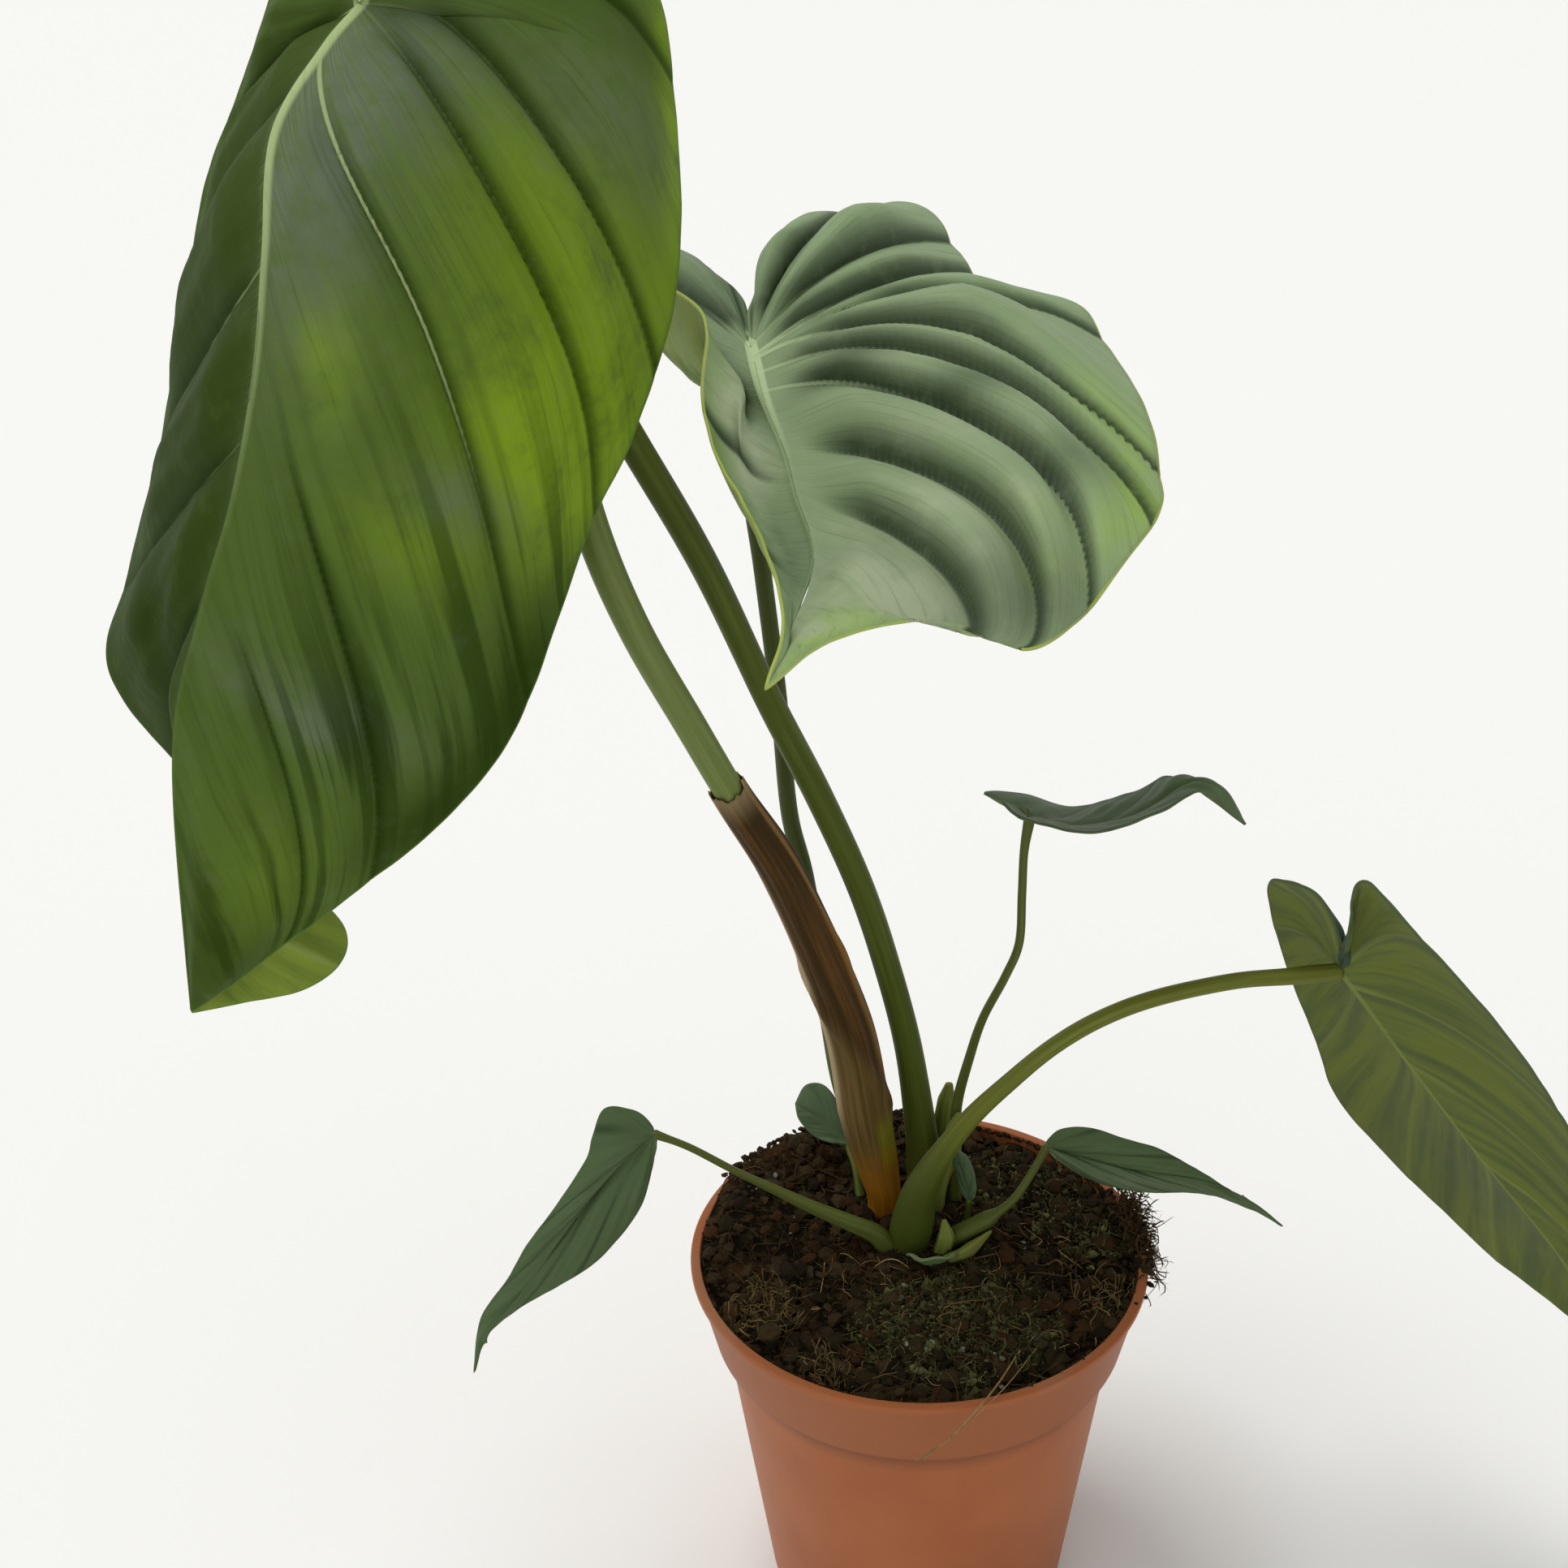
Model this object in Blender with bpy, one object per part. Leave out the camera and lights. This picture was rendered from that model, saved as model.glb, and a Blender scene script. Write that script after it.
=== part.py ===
"""A philodendron in a plastic nursery pot, in metres, +Z up.

The origin is the centre of the pot's underside. The pot is filled with soil, a short rootstock sits in a
socket in the soil, and each leaf is a blade on a petiole that rises from the rootstock. The newest leaf is
still rolled, and a dry papery sheath wraps the foot of its petiole.
Shapes of the plant are drawn in millimetres from two points: petioles from the top of the rootstock, and a
blade from its junction, the point where the petiole meets it.
"""

import math

import bmesh
import bpy
import numpy as np

MM = 0.001
FIT = 0.0003  # air between two pieces that touch

# pot
POT_HEIGHT = 0.105
POT_RIM_DIAMETER = 0.120
POT_BASE_DIAMETER = 0.082
POT_WALL = 0.0015
BAND_HEIGHT = 0.0215  # the collar below the rim
BAND_TAPER = 0.0044  # how much the collar narrows downwards, on the radius
BAND_STEP = 0.0028  # how far the body sits inside the collar, on the radius
LIP_HEIGHT = 0.0018
LIP_OVERHANG = 0.0010
FOOT_WIDTH = 0.005  # the ring that the pot stands on
CENTRE_DISC_DIAMETER = 0.026  # the flat in the middle of the underside
FLOOR_RISE = 0.0025  # the floor between them is raised, so that it drains
DRAIN_HOLES = 8
DRAIN_HOLE_DIAMETER = 0.007
DRAIN_CIRCLE_DIAMETER = 0.048
POT_SEGMENTS = 48

# soil
SOIL_BELOW_RIM = 0.003
MOUND = 0.008  # how far the soil is heaped at the back left
SOIL_LEVEL_RADIUS = 0.0238  # the soil is level this far round the plant, where its stems rise
SOIL_SLOPE = 0.017  # how far out from there it reaches its full height
SOIL_RINGS = 6

# rootstock
ROOTSTOCK_CENTRE_Y = 0.016
ROOTSTOCK_RADIUS = 0.017
ROOTSTOCK_DEPTH = 0.020  # how far it reaches into the soil
ROOTSTOCK_CROWN = 0.003  # how far its top is domed above the soil

# sheath round the foot of the newest petiole
SHEATH_LENGTH = 0.146
SHEATH_WALL = 0.0009
SHEATH_FOOT_WALL = 0.0018
SHEATH_SIDES = 16

# blades
BLADE_THICKNESS = 0.0012
SMALL_BLADE_THICKNESS = 0.0010
FAN = 0.30  # share of the margin, from the notch, whose veins all start at the junction

# Each leaf: length is the midrib's, reach scales its petiole, and radius is the petiole's at foot and neck,
# in millimetres. foot is where the petiole rises from the rootstock, and neck is the gap it keeps to the blade.
# A margin runs from the notch behind the junction, round the lobe, to the tip.
# up is the side of a half that faces the sky when it is flat, and dome its rise over the chord of a vein.
LEAVES = {
    "front": {
        "length": 0.240,
        "reach": 1.0,
        "radius": (5.2, 3.4),
        "foot": (4, 10),
        "petiole": [(3, 10, 18), (-1, 7, 49), (-7, 3, 77), (-14, -2, 103), (-24, -8, 131), (-35, -16, 159),
                    (-48, -26, 195), (-62, -37, 227), (-78, -47, 262), (-90, -53, 288), (-98, -58, 303)],
        "junction": (-101, -66, 310),
        "neck": 4.5,
        "midrib": [(-5, -9, -6), (-12, -22, -18), (-14, -31, -36), (-18, -32, -55), (-26, -29, -78),
                   (-37, -22, -101), (-52, -7, -137), (-66, 15, -209)],
        "right": [(8, 6, 15), (24, 18, 22), (39, 34, 16), (49, 42, -2), (51, 34, -27), (50, 14, -53),
                  (42, 6, -76), (34, 3, -92), (25, 2, -112), (14, 4, -137), (-1, 6, -156), (-27, 9, -178)],
        "left": [(-5, 10, 11), (-17, 28, 10), (-25, 38, -2), (-36, 50, -17), (-46, 58, -32), (-55, 64, -54),
                 (-68, 66, -90), (-77, 58, -118), (-83, 50, -138), (-74, 54, -163), (-55, 52, -187),
                 (-35, 38, -202), (-42, 26, -210)],
        "right_up": (0.35, -0.90, 0.25),
        "right_dome": (0.10, 0.16, 0.16, 0.10, 0.05),
        "left_up": (-0.95, -0.25, 0.20),
        "left_dome": (0.02, 0.02, 0.0, 0.0, 0.02),
        "rows": 20,
        "steps": 4,
    },
    "middle": {
        "length": 0.120,
        "reach": 1.0,
        "radius": (2.6, 1.9),
        "foot": (-9, 16),
        "petiole": [(-15, 17, 18), (-19, 17, 33), (-22, 17, 54), (-27, 15, 95), (-31, 14, 116), (-33, 13, 148),
                    (-36, 11, 182), (-38, 9, 202), (-38, 8, 221)],
        "junction": (-37, 4, 235),
        "neck": 2.0,
        "midrib": [(3, -18, -8), (7, -34, -15), (9, -48, -20), (12, -66, -26), (9, -84, -30), (2, -112, -36)],
        "right": [(1, 20, 6), (5, 42, 13), (12, 57, 18), (26, 68, 20), (41, 77, 21), (56, 54, 12), (67, 40, 5),
                  (79, 28, -1), (85, -6, -13), (85, -39, -24), (76, -61, -29), (54, -92, -37), (34, -87, -33),
                  (15, -97, -33)],
        "left": [(-2, 22, 7), (-9, 40, 10), (-17, 54, 13), (-31, 58, 16), (-41, 46, 13), (-37, 26, 10),
                 (-23, 14, 13), (-13, 4, 10), (-10, -6, 5), (-11, -20, -4), (-8, -40, -13), (-3, -56, -17),
                 (2, -74, -21), (5, -96, -28)],
        "right_up": (0.12, -0.31, 0.95),
        "right_dome": (0.02, 0.06, 0.08, 0.05, 0.0),
        "left_up": (0.12, -0.31, 0.95),
        "left_dome": (0.0, 0.05, -0.15, -0.30, -0.1),
        "rows": 20,
        "steps": 4,
    },
    "right": {
        "length": 0.133,
        "reach": 1.0,
        "radius": (6.0, 2.2),
        "foot": (1, -9),
        "petiole": [(4, -11, 20), (13, -14, 38), (24, -17, 55), (34, -19, 66), (45, -20, 74), (58, -21, 80),
                    (76, -21, 84), (90, -21, 85)],
        "junction": (102, -21, 86),
        "neck": 2.2,
        "midrib": [(9, -2, -12), (18, -5, -24), (38, -10, -50), (59, -16, -76), (77, -17, -106)],
        "right": [(-2, -9, 13), (-6, -20, 31), (-6, -26, 38), (-2, -30, 35), (12, -37, 21), (26, -44, 5),
                  (40, -44, -16), (55, -37, -48)],
        "left": [(-3, -5, 11), (-10, -7, 25), (-16, 0, 25), (-17, 10, 17), (-7, 22, -11), (5, 28, -38),
                 (14, 33, -60), (30, 28, -78), (51, 10, -94)],
        "right_up": (0.74, 0.49, 0.46),
        "right_dome": (0.05, 0.08, 0.08, 0.05, 0.0),
        "left_up": (0.74, 0.49, 0.46),
        "left_dome": (0.05, 0.08, 0.08, 0.05, 0.0),
        "rows": 18,
        "steps": 4,
    },
    "upright": {
        "length": 0.062,
        "reach": 1.0,
        "radius": (1.7, 1.1),
        "foot": (12, 8),
        "petiole": [(12, 7, 15), (12, 6, 31), (15, 4, 48), (18, 2, 61), (23, -1, 75), (26, -3, 86),
                    (26, -5, 101), (26, -6, 113)],
        "junction": (27, -6, 122),
        "neck": 1.0,
        "midrib": [(4, -2, 0), (11, -6, 0), (20, -10, 3), (29, -14, 9), (37, -16, 16), (43, -16, 15),
                   (50, -16, 5)],
        "right": [(-2, -4, 3), (-8, -6, 8), (-4, -16, 8), (7, -28, 10), (16, -32, 13), (27, -31, 17),
                  (37, -24, 18)],
        "left": [(-1, 6, 1), (-9, 22, -3), (2, 24, -5), (14, 20, -7), (28, 8, 3), (35, -3, 12)],
        "right_up": (-0.2, 0.1, 1.0),
        "right_dome": (0.0, 0.0, 0.0, 0.0, 0.0),
        "left_up": (-0.2, 0.1, 1.0),
        "left_dome": (0.0, 0.0, 0.0, 0.0, 0.0),
        "rows": 12,
        "steps": 3,
    },
    "left": {
        "length": 0.076,
        "reach": 1.0,
        "radius": (2.4, 1.0),
        "foot": (-10, -8),
        "petiole": [(-14, -9, 8), (-22, -9, 11), (-30, -10, 14), (-38, -11, 18), (-48, -12, 25),
                    (-59, -14, 34)],
        "junction": (-68, -16, 40),
        "neck": 1.0,
        "midrib": [(-12, -6, -9), (-22, -12, -20), (-32, -18, -31), (-42, -24, -40), (-46, -29, -50)],
        "right": [(1, 0, 0), (-2, -5, -12), (-4, -7, -17), (-9, -10, -23), (-17, -15, -29), (-26, -18, -33),
                  (-35, -21, -37), (-43, -25, -42)],
        "left": [(-2, 1, 4), (-6, 1, 7), (-12, 0, 8), (-15, -3, 2), (-17, -5, -4), (-24, -10, -13),
                 (-32, -15, -22), (-37, -19, -29), (-44, -23, -38)],
        "right_up": (0.20, -0.92, 0.34),
        "right_dome": (0.05, 0.08, 0.08, 0.05, 0.0),
        "left_up": (0.20, -0.92, 0.34),
        "left_dome": (0.05, 0.08, 0.08, 0.05, 0.0),
        "rows": 12,
        "steps": 3,
    },
    "small_right": {
        "length": 0.064,
        "reach": 1.0,
        "radius": (2.4, 1.1),
        "foot": (11, -7),
        "petiole": [(14, -9, 6), (20, -9, 10), (26, -7, 14), (31, -5, 18)],
        "junction": (35, -4, 24),
        "neck": 1.0,
        "midrib": [(10, -4, -1), (22, -9, -2), (34, -13, -2), (46, -18, -3), (57, -24, -9)],
        "right": [(1, -1, -1), (8, -5, -5), (16, -9, -6), (26, -12, -6), (38, -16, -4), (50, -21, -6)],
        "left": [(1, 1, 2), (5, 1, 5), (12, -1, 6), (20, -5, 5), (28, -8, 4), (36, -12, 1), (44, -17, -2)],
        "right_up": (-0.30, -0.85, 0.43),
        "right_dome": (0.0, 0.1, 0.1, 0.05, 0.0),
        "left_up": (-0.30, -0.85, 0.43),
        "left_dome": (0.0, 0.1, 0.1, 0.05, 0.0),
        "rows": 12,
        "steps": 3,
    },
    "back": {
        "length": 0.019,
        "reach": 1.0,
        "radius": (1.3, 0.9),
        "foot": (-14, 10),
        "petiole": [(-15, 14, 5)],
        "junction": (-17, 20, 9),
        "neck": 0.8,
        "midrib": [(-6, 2, 6), (-14, 4, 11)],
        "right": [(-2, 6, 8), (-6, 9, 13), (-11, 8, 14)],
        "left": [(-4, -2, 2), (-9, 0, 3), (-13, 2, 7)],
        "right_up": (0.3, -0.8, 0.5),
        "right_dome": (0.0, 0.05, 0.05),
        "left_up": (0.3, -0.8, 0.5),
        "left_dome": (0.0, 0.05, 0.05),
        "rows": 8,
        "steps": 2,
    },
    "tiny": {
        "length": 0.018,
        "reach": 1.0,
        "radius": (0.9, 0.7),
        "foot": (15, -3),
        "petiole": [(16, -4, 4)],
        "junction": (16, -5, 8),
        "neck": 0.8,
        "midrib": [(-1, 0, 7), (-4, 0, 17)],
        "right": [(2, -2, 3), (2, -2, 8), (0, -1, 14)],
        "left": [(-2, 3, 1), (-4, 4, 5), (-5, 3, 11)],
        "right_up": (0.3, -0.9, 0.2),
        "right_dome": (0.0, 0.05, 0.05),
        "left_up": (-0.6, -0.8, 0.2),
        "left_dome": (0.0, 0.05, 0.05),
        "rows": 8,
        "steps": 2,
    },
}

# the newest leaf: a petiole in a papery sheath, with its blade still rolled
NEW_PETIOLE = {
    "foot": (-8, 3),
    "radius": (5.2, 4.4),
    "path": [(-11, 2, 22), (-13, 1, 34), (-17, -2, 61), (-25, -6, 88), (-34, -12, 114), (-44, -19, 136),
             (-53, -26, 158), (-63, -34, 183), (-70, -39, 206), (-75, -36, 228), (-79, -30, 256),
             (-80, -24, 285), (-80, -20, 307), (-79, -17, 325)],
}
ROLLED_BLADE = {
    "length": 0.105,
    "radius": 0.0062,
    "path": [(0, 0, 0), (-2, 3, 32), (0, 10, 68), (6, 20, 100)],
}

# short sheaths that buds have left round the crown: foot, top, radius
BUDS = {
    "tall_bud": {"foot": (12, 15), "top": (11, 13, 33), "radius": 2.2},
    "short_bud": {"foot": (9, 2), "top": (16, 3, 27), "radius": 2.2},
}

# the cupped leaflet in front of the crown
LEAFLET = {
    "centre": (3, -10),
    "inner_radius": 8.6,
    "from_angle": 215,
    "to_angle": 330,
    "height": 8.0,
    "thickness": 1.0,
}

COLOURS = {
    "pot": (0.262, 0.104, 0.047),
    "soil": (0.020, 0.014, 0.009),
    "rootstock": (0.085, 0.060, 0.022),
    "petiole": (0.080, 0.130, 0.028),
    "new_petiole": (0.160, 0.230, 0.080),
    "sheath": (0.130, 0.055, 0.020),
    "blade": (0.055, 0.115, 0.030),
    "far_blade": (0.050, 0.095, 0.060),
    "bud": (0.110, 0.150, 0.020),
}


def clear_scene():
    for thing in list(bpy.data.objects):
        bpy.data.objects.remove(thing, do_unlink=True)


def material(name, colour, roughness):
    made = bpy.data.materials.get(name) or bpy.data.materials.new(name)
    made.use_nodes = True
    shader = made.node_tree.nodes["Principled BSDF"]
    shader.inputs["Base Color"].default_value = (*colour, 1.0)
    shader.inputs["Roughness"].default_value = roughness
    shader.inputs["Metallic"].default_value = 0.0
    return made


def place(name, data, finish):
    thing = bpy.data.objects.new(name, data)
    data.materials.append(finish)
    bpy.context.collection.objects.link(thing)
    return thing


def smooth_path(points, count):
    """count + 1 points, evenly spaced along the Catmull-Rom curve through the given ones."""
    given = np.array(points, float)
    before = 2 * given[0] - given[1]
    after = 2 * given[-1] - given[-2]
    p = np.vstack([before, given, after])
    fine = np.linspace(0, len(given) - 1, 24 * len(given))
    span = np.minimum(fine.astype(int), len(given) - 2)
    t = (fine - span)[:, None]
    a, b, c, d = p[span], p[span + 1], p[span + 2], p[span + 3]
    curve = 0.5 * (2 * b + (c - a) * t + (2 * a - 5 * b + 4 * c - d) * t**2 + (3 * b - a - 3 * c + d) * t**3)
    along = np.concatenate([[0], np.cumsum(np.linalg.norm(np.diff(curve, axis=0), axis=1))])
    wanted = np.linspace(0, along[-1], count + 1)
    return np.stack([np.interp(wanted, along, curve[:, k]) for k in range(3)], axis=1)


def path_length(points):
    return float(np.linalg.norm(np.diff(np.array(points, float), axis=0), axis=1).sum())


def turned(name, profile, segments, finish):
    """A closed profile of (radius, height) turned about the Z axis."""
    mesh = bmesh.new()
    corners = [mesh.verts.new((r, 0, z)) for r, z in profile]
    edges = [mesh.edges.new((a, b)) for a, b in zip(corners, corners[1:] + corners[:1])]
    bmesh.ops.spin(
        mesh, geom=corners + edges, cent=(0, 0, 0), axis=(0, 0, 1), angle=2 * math.pi, steps=segments
    )
    bmesh.ops.remove_doubles(mesh, verts=mesh.verts, dist=1e-5)
    bmesh.ops.recalc_face_normals(mesh, faces=mesh.faces)
    data = bpy.data.meshes.new(name)
    mesh.to_mesh(data)
    mesh.free()
    data.shade_smooth()
    data.set_sharp_from_angle(angle=math.radians(40))
    return place(name, data, finish)


def cut(thing, cutter):
    cutter.hide_render = True
    cutter.display_type = "WIRE"
    modifier = thing.modifiers.new("cut " + cutter.name, "BOOLEAN")
    modifier.operation = "DIFFERENCE"
    modifier.solver = "EXACT"
    modifier.object = cutter


# the pot's outside, by height
RIM_RADIUS = POT_RIM_DIAMETER / 2
BAND_TOP_RADIUS = RIM_RADIUS - LIP_OVERHANG
BAND_FOOT_RADIUS = BAND_TOP_RADIUS - BAND_TAPER
BAND_FOOT = POT_HEIGHT - BAND_HEIGHT
BODY_TOP_RADIUS = BAND_FOOT_RADIUS - BAND_STEP
BASE_RADIUS = POT_BASE_DIAMETER / 2
FLOOR_TOP = FLOOR_RISE + POT_WALL


def inner_radius(height):
    """The pot's inside radius in its tapered body."""
    outer = BASE_RADIUS + (BODY_TOP_RADIUS - BASE_RADIUS) * height / BAND_FOOT
    return outer - POT_WALL


def make_pot():
    disc = CENTRE_DISC_DIAMETER / 2
    ledge = BAND_FOOT + POT_WALL
    lip_foot = POT_HEIGHT - LIP_HEIGHT
    profile = [
        (BAND_TOP_RADIUS - POT_WALL, POT_HEIGHT),
        (RIM_RADIUS - 0.4 * LIP_OVERHANG, POT_HEIGHT),
        (RIM_RADIUS, POT_HEIGHT - 0.3 * LIP_HEIGHT),
        (RIM_RADIUS, lip_foot + 0.2 * LIP_HEIGHT),
        (BAND_TOP_RADIUS, lip_foot),
        (BAND_FOOT_RADIUS, BAND_FOOT + 0.3 * POT_WALL),
        (BAND_FOOT_RADIUS - 0.3 * POT_WALL, BAND_FOOT),
        (BODY_TOP_RADIUS, BAND_FOOT),
        (BASE_RADIUS + 0.3 * POT_WALL, 0.6 * POT_WALL),
        (BASE_RADIUS, 0),
        (BASE_RADIUS - FOOT_WIDTH, 0),
        (BASE_RADIUS - FOOT_WIDTH - FLOOR_RISE, FLOOR_RISE),
        (disc + FLOOR_RISE, FLOOR_RISE),
        (disc, 0),
        (0, 0),
        (0, POT_WALL),
        (disc, POT_WALL),
        (disc + FLOOR_RISE, FLOOR_TOP),
        (BASE_RADIUS - FOOT_WIDTH - FLOOR_RISE, FLOOR_TOP),
        (inner_radius(FLOOR_TOP), FLOOR_TOP),
        (inner_radius(BAND_FOOT), ledge),
        (BAND_FOOT_RADIUS - POT_WALL, ledge),
    ]
    pot = turned("pot", profile, POT_SEGMENTS, material("pot plastic", COLOURS["pot"], 0.45))
    angles = [2 * math.pi * (number + 0.5) / DRAIN_HOLES for number in range(DRAIN_HOLES)]
    circle = DRAIN_CIRCLE_DIAMETER / 2
    centres = [(circle * math.cos(angle), circle * math.sin(angle)) for angle in angles]
    depth = FLOOR_TOP + 2 * POT_WALL
    cut(pot, cylinders("drain_cutter", centres, DRAIN_HOLE_DIAMETER / 2, -POT_WALL, depth, 12))
    return pot


def cylinders(name, centres, radius, bottom, height, sides):
    """Upright cylinders of one size in one object, at the centres given."""
    mesh = bmesh.new()
    for x, y in centres:
        made = bmesh.ops.create_cone(
            mesh, cap_ends=True, segments=sides, radius1=radius, radius2=radius, depth=height
        )
        bmesh.ops.translate(mesh, verts=made["verts"], vec=(x, y, bottom + height / 2))
    data = bpy.data.meshes.new(name)
    mesh.to_mesh(data)
    mesh.free()
    return place(name, data, material("cutter", (0.5, 0.5, 0.5), 0.5))


SOIL_LEVEL = POT_HEIGHT - SOIL_BELOW_RIM
SOIL_RADIUS = BAND_TOP_RADIUS - POT_WALL - FIT - BAND_TAPER * SOIL_BELOW_RIM / BAND_HEIGHT


def soil_height(x, y):
    """Soil heaped towards the back left, level round the rootstock, and a little lumpy further out."""
    away = math.hypot(x, y - ROOTSTOCK_CENTRE_Y)
    out = min(max((away - SOIL_LEVEL_RADIUS) / SOIL_SLOPE, 0), 1)
    heap = MOUND * max(0, (y - x) / (1.4 * SOIL_RADIUS)) ** 1.5
    lumps = 0.0006 * math.sin(210 * x + 1) * math.cos(260 * y)
    return SOIL_LEVEL + out * (heap + lumps)


def make_soil():
    body_radius = inner_radius(BAND_FOOT) - FIT
    ledge = BAND_FOOT + POT_WALL + FIT
    band_radius = BAND_FOOT_RADIUS - POT_WALL - FIT
    bottom = FLOOR_TOP + FIT
    rings = [(SOIL_RADIUS * k / SOIL_RINGS, SOIL_LEVEL) for k in range(SOIL_RINGS + 1)]
    profile = rings + [
        (band_radius, ledge),
        (body_radius, ledge),
        (inner_radius(bottom) - FIT, bottom),
        (0, bottom),
    ]
    soil = turned("soil", profile, POT_SEGMENTS, material("peat", COLOURS["soil"], 0.95))
    for corner in soil.data.vertices:
        if abs(corner.co.z - SOIL_LEVEL) < 1e-6:
            corner.co.z = soil_height(corner.co.x, corner.co.y)
    centre = (0, ROOTSTOCK_CENTRE_Y)
    depth = ROOTSTOCK_DEPTH + FIT
    cut(soil, cylinders("socket_cutter", [centre], ROOTSTOCK_RADIUS + FIT, SOIL_LEVEL - depth, 2 * depth, 24))
    return soil


def rootstock_height(x, y):
    """Height of the rootstock's domed top at (x, y), both from its own axis."""
    share = min(math.hypot(x, y) / ROOTSTOCK_RADIUS, 1)
    return SOIL_LEVEL + ROOTSTOCK_CROWN * (1 - share**2)


def make_rootstock():
    steps = 5
    radii = [ROOTSTOCK_RADIUS * k / steps for k in range(steps + 1)]
    dome = [(radius, rootstock_height(radius, 0)) for radius in radii]
    bottom = SOIL_LEVEL - ROOTSTOCK_DEPTH
    profile = dome + [
        (0.98 * ROOTSTOCK_RADIUS, bottom + 0.2 * ROOTSTOCK_DEPTH),
        (0.7 * ROOTSTOCK_RADIUS, bottom),
        (0, bottom),
    ]
    rootstock = turned("rootstock", profile, 24, material("rootstock bark", COLOURS["rootstock"], 0.8))
    for corner in rootstock.data.vertices:
        corner.co.y += ROOTSTOCK_CENTRE_Y
    return rootstock


CROWN = np.array([0, ROOTSTOCK_CENTRE_Y, SOIL_LEVEL + 0.001])  # where the plant is drawn from


def foot_point(x, y, radius):
    """Where a petiole or a bud of this radius stands on the domed rootstock. x and y are in millimetres."""
    x, y, radius = x * MM, y * MM, radius * MM
    inner = max(math.hypot(x, y) - radius, 0)
    return np.array([x, y + ROOTSTOCK_CENTRE_Y, rootstock_height(inner, 0) + FIT + 0.3 * radius])


def tube(name, path, radii, sides, finish):
    """A round stem along the path, its radius running evenly from the first to the last of radii."""
    data = bpy.data.curves.new(name, "CURVE")
    data.dimensions = "3D"
    data.bevel_depth = MM
    data.bevel_resolution = sides
    data.use_fill_caps = True
    spline = data.splines.new("POLY")
    spline.points.add(len(path) - 1)
    shares = np.linspace(0, 1, len(path))
    widths = np.interp(shares, np.linspace(0, 1, len(radii)), radii)
    for point, centre, width in zip(spline.points, path, widths):
        point.co = (*centre, 1.0)
        point.radius = width
    return place(name, data, finish)


def shorten(path, by):
    """The path without its last stretch of this length."""
    along = np.concatenate([[0], np.cumsum(np.linalg.norm(np.diff(path, axis=0), axis=1))])
    wanted = np.linspace(0, along[-1] - by, len(path))
    return np.stack([np.interp(wanted, along, path[:, k]) for k in range(3)], axis=1)


def junction_of(leaf):
    return CROWN + np.array(leaf["junction"]) * MM * leaf["reach"]


def make_petiole(name, leaf):
    foot = foot_point(*leaf["foot"], leaf["radius"][0])
    start = foot + np.array([0, 0, leaf["radius"][0] * MM])
    middle = [CROWN + np.array(p) * MM * leaf["reach"] for p in leaf["petiole"]]
    route = [foot, start] + middle + [junction_of(leaf)]
    count = max(5, round(path_length(route) / 0.018))
    path = shorten(smooth_path(route, count), leaf["neck"] * MM)
    foot_radius, neck_radius = leaf["radius"]
    radii = (foot_radius, 0.5 * (foot_radius + neck_radius), neck_radius, neck_radius)
    if len(path) > 8:
        radii = (foot_radius, 0.6 * foot_radius + 0.4 * neck_radius, neck_radius, neck_radius, neck_radius)
    return tube(name + "_petiole", path, radii, 2, material("green petiole", COLOURS["petiole"], 0.4))


def margin_half(leaf, side, midrib, scale):
    """A grid of points for one half of a blade, shaped rows + 1 by steps + 1.

    Row k is a vein from the midrib to the margin. The first rows all start at the junction and fan into the
    lobe. A vein is a chord lifted by its dome, which is the share of the chord's length that it rises by.
    """
    rows, steps = leaf["rows"], leaf["steps"]
    outline = [(0, 0, 0)] + leaf[side] + [leaf["midrib"][-1]]
    margin = smooth_path(outline, rows) * MM * scale
    share = np.linspace(0, 1, rows + 1)
    start = np.clip((share - FAN) / (1 - FAN), 0, 1) ** 1.2
    along = np.linspace(0, 1, len(midrib))
    root = np.stack([np.interp(start, along, midrib[:, k]) for k in range(3)], axis=1)
    dome = leaf[side + "_dome"]
    rise = np.interp(share, np.linspace(0, 1, len(dome)), dome)
    up = np.array(leaf[side + "_up"], float)
    chord = margin - root
    length = np.linalg.norm(chord, axis=1, keepdims=True)
    direction = chord / np.maximum(length, 1e-9)
    square = up - (direction @ up)[:, None] * direction
    square /= np.linalg.norm(square, axis=1, keepdims=True)
    t = np.linspace(0, 1, steps + 1)
    lift = 4 * t * (1 - t)
    raised = (rise[:, None] * length * square)[:, None]
    return root[:, None] + t[None, :, None] * chord[:, None] + lift[None, :, None] * raised


def make_blade(name, leaf, thickness, finish):
    drawn = [(0, 0, 0)] + leaf["midrib"]
    scale = leaf["length"] / (path_length(smooth_path(drawn, 60)) * MM)
    midrib = smooth_path(drawn, 60) * MM * scale
    mesh = bmesh.new()
    for side, turn in (("right", 1), ("left", -1)):
        grid = margin_half(leaf, side, midrib, scale)
        corners = [[mesh.verts.new(point) for point in row] for row in grid]
        for row, following in zip(corners, corners[1:]):
            for k in range(leaf["steps"]):
                face = (row[k], row[k + 1], following[k + 1], following[k])
                mesh.faces.new(face[::turn])
    bmesh.ops.remove_doubles(mesh, verts=mesh.verts, dist=1e-5)
    bmesh.ops.dissolve_degenerate(mesh, edges=mesh.edges, dist=1e-6)
    bmesh.ops.translate(mesh, verts=mesh.verts, vec=junction_of(leaf))
    data = bpy.data.meshes.new(name + "_leaf")
    mesh.to_mesh(data)
    mesh.free()
    data.shade_smooth()
    blade = place(name + "_leaf", data, finish)
    wall = blade.modifiers.new("thickness", "SOLIDIFY")
    wall.thickness = thickness
    wall.offset = 0
    return blade


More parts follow.
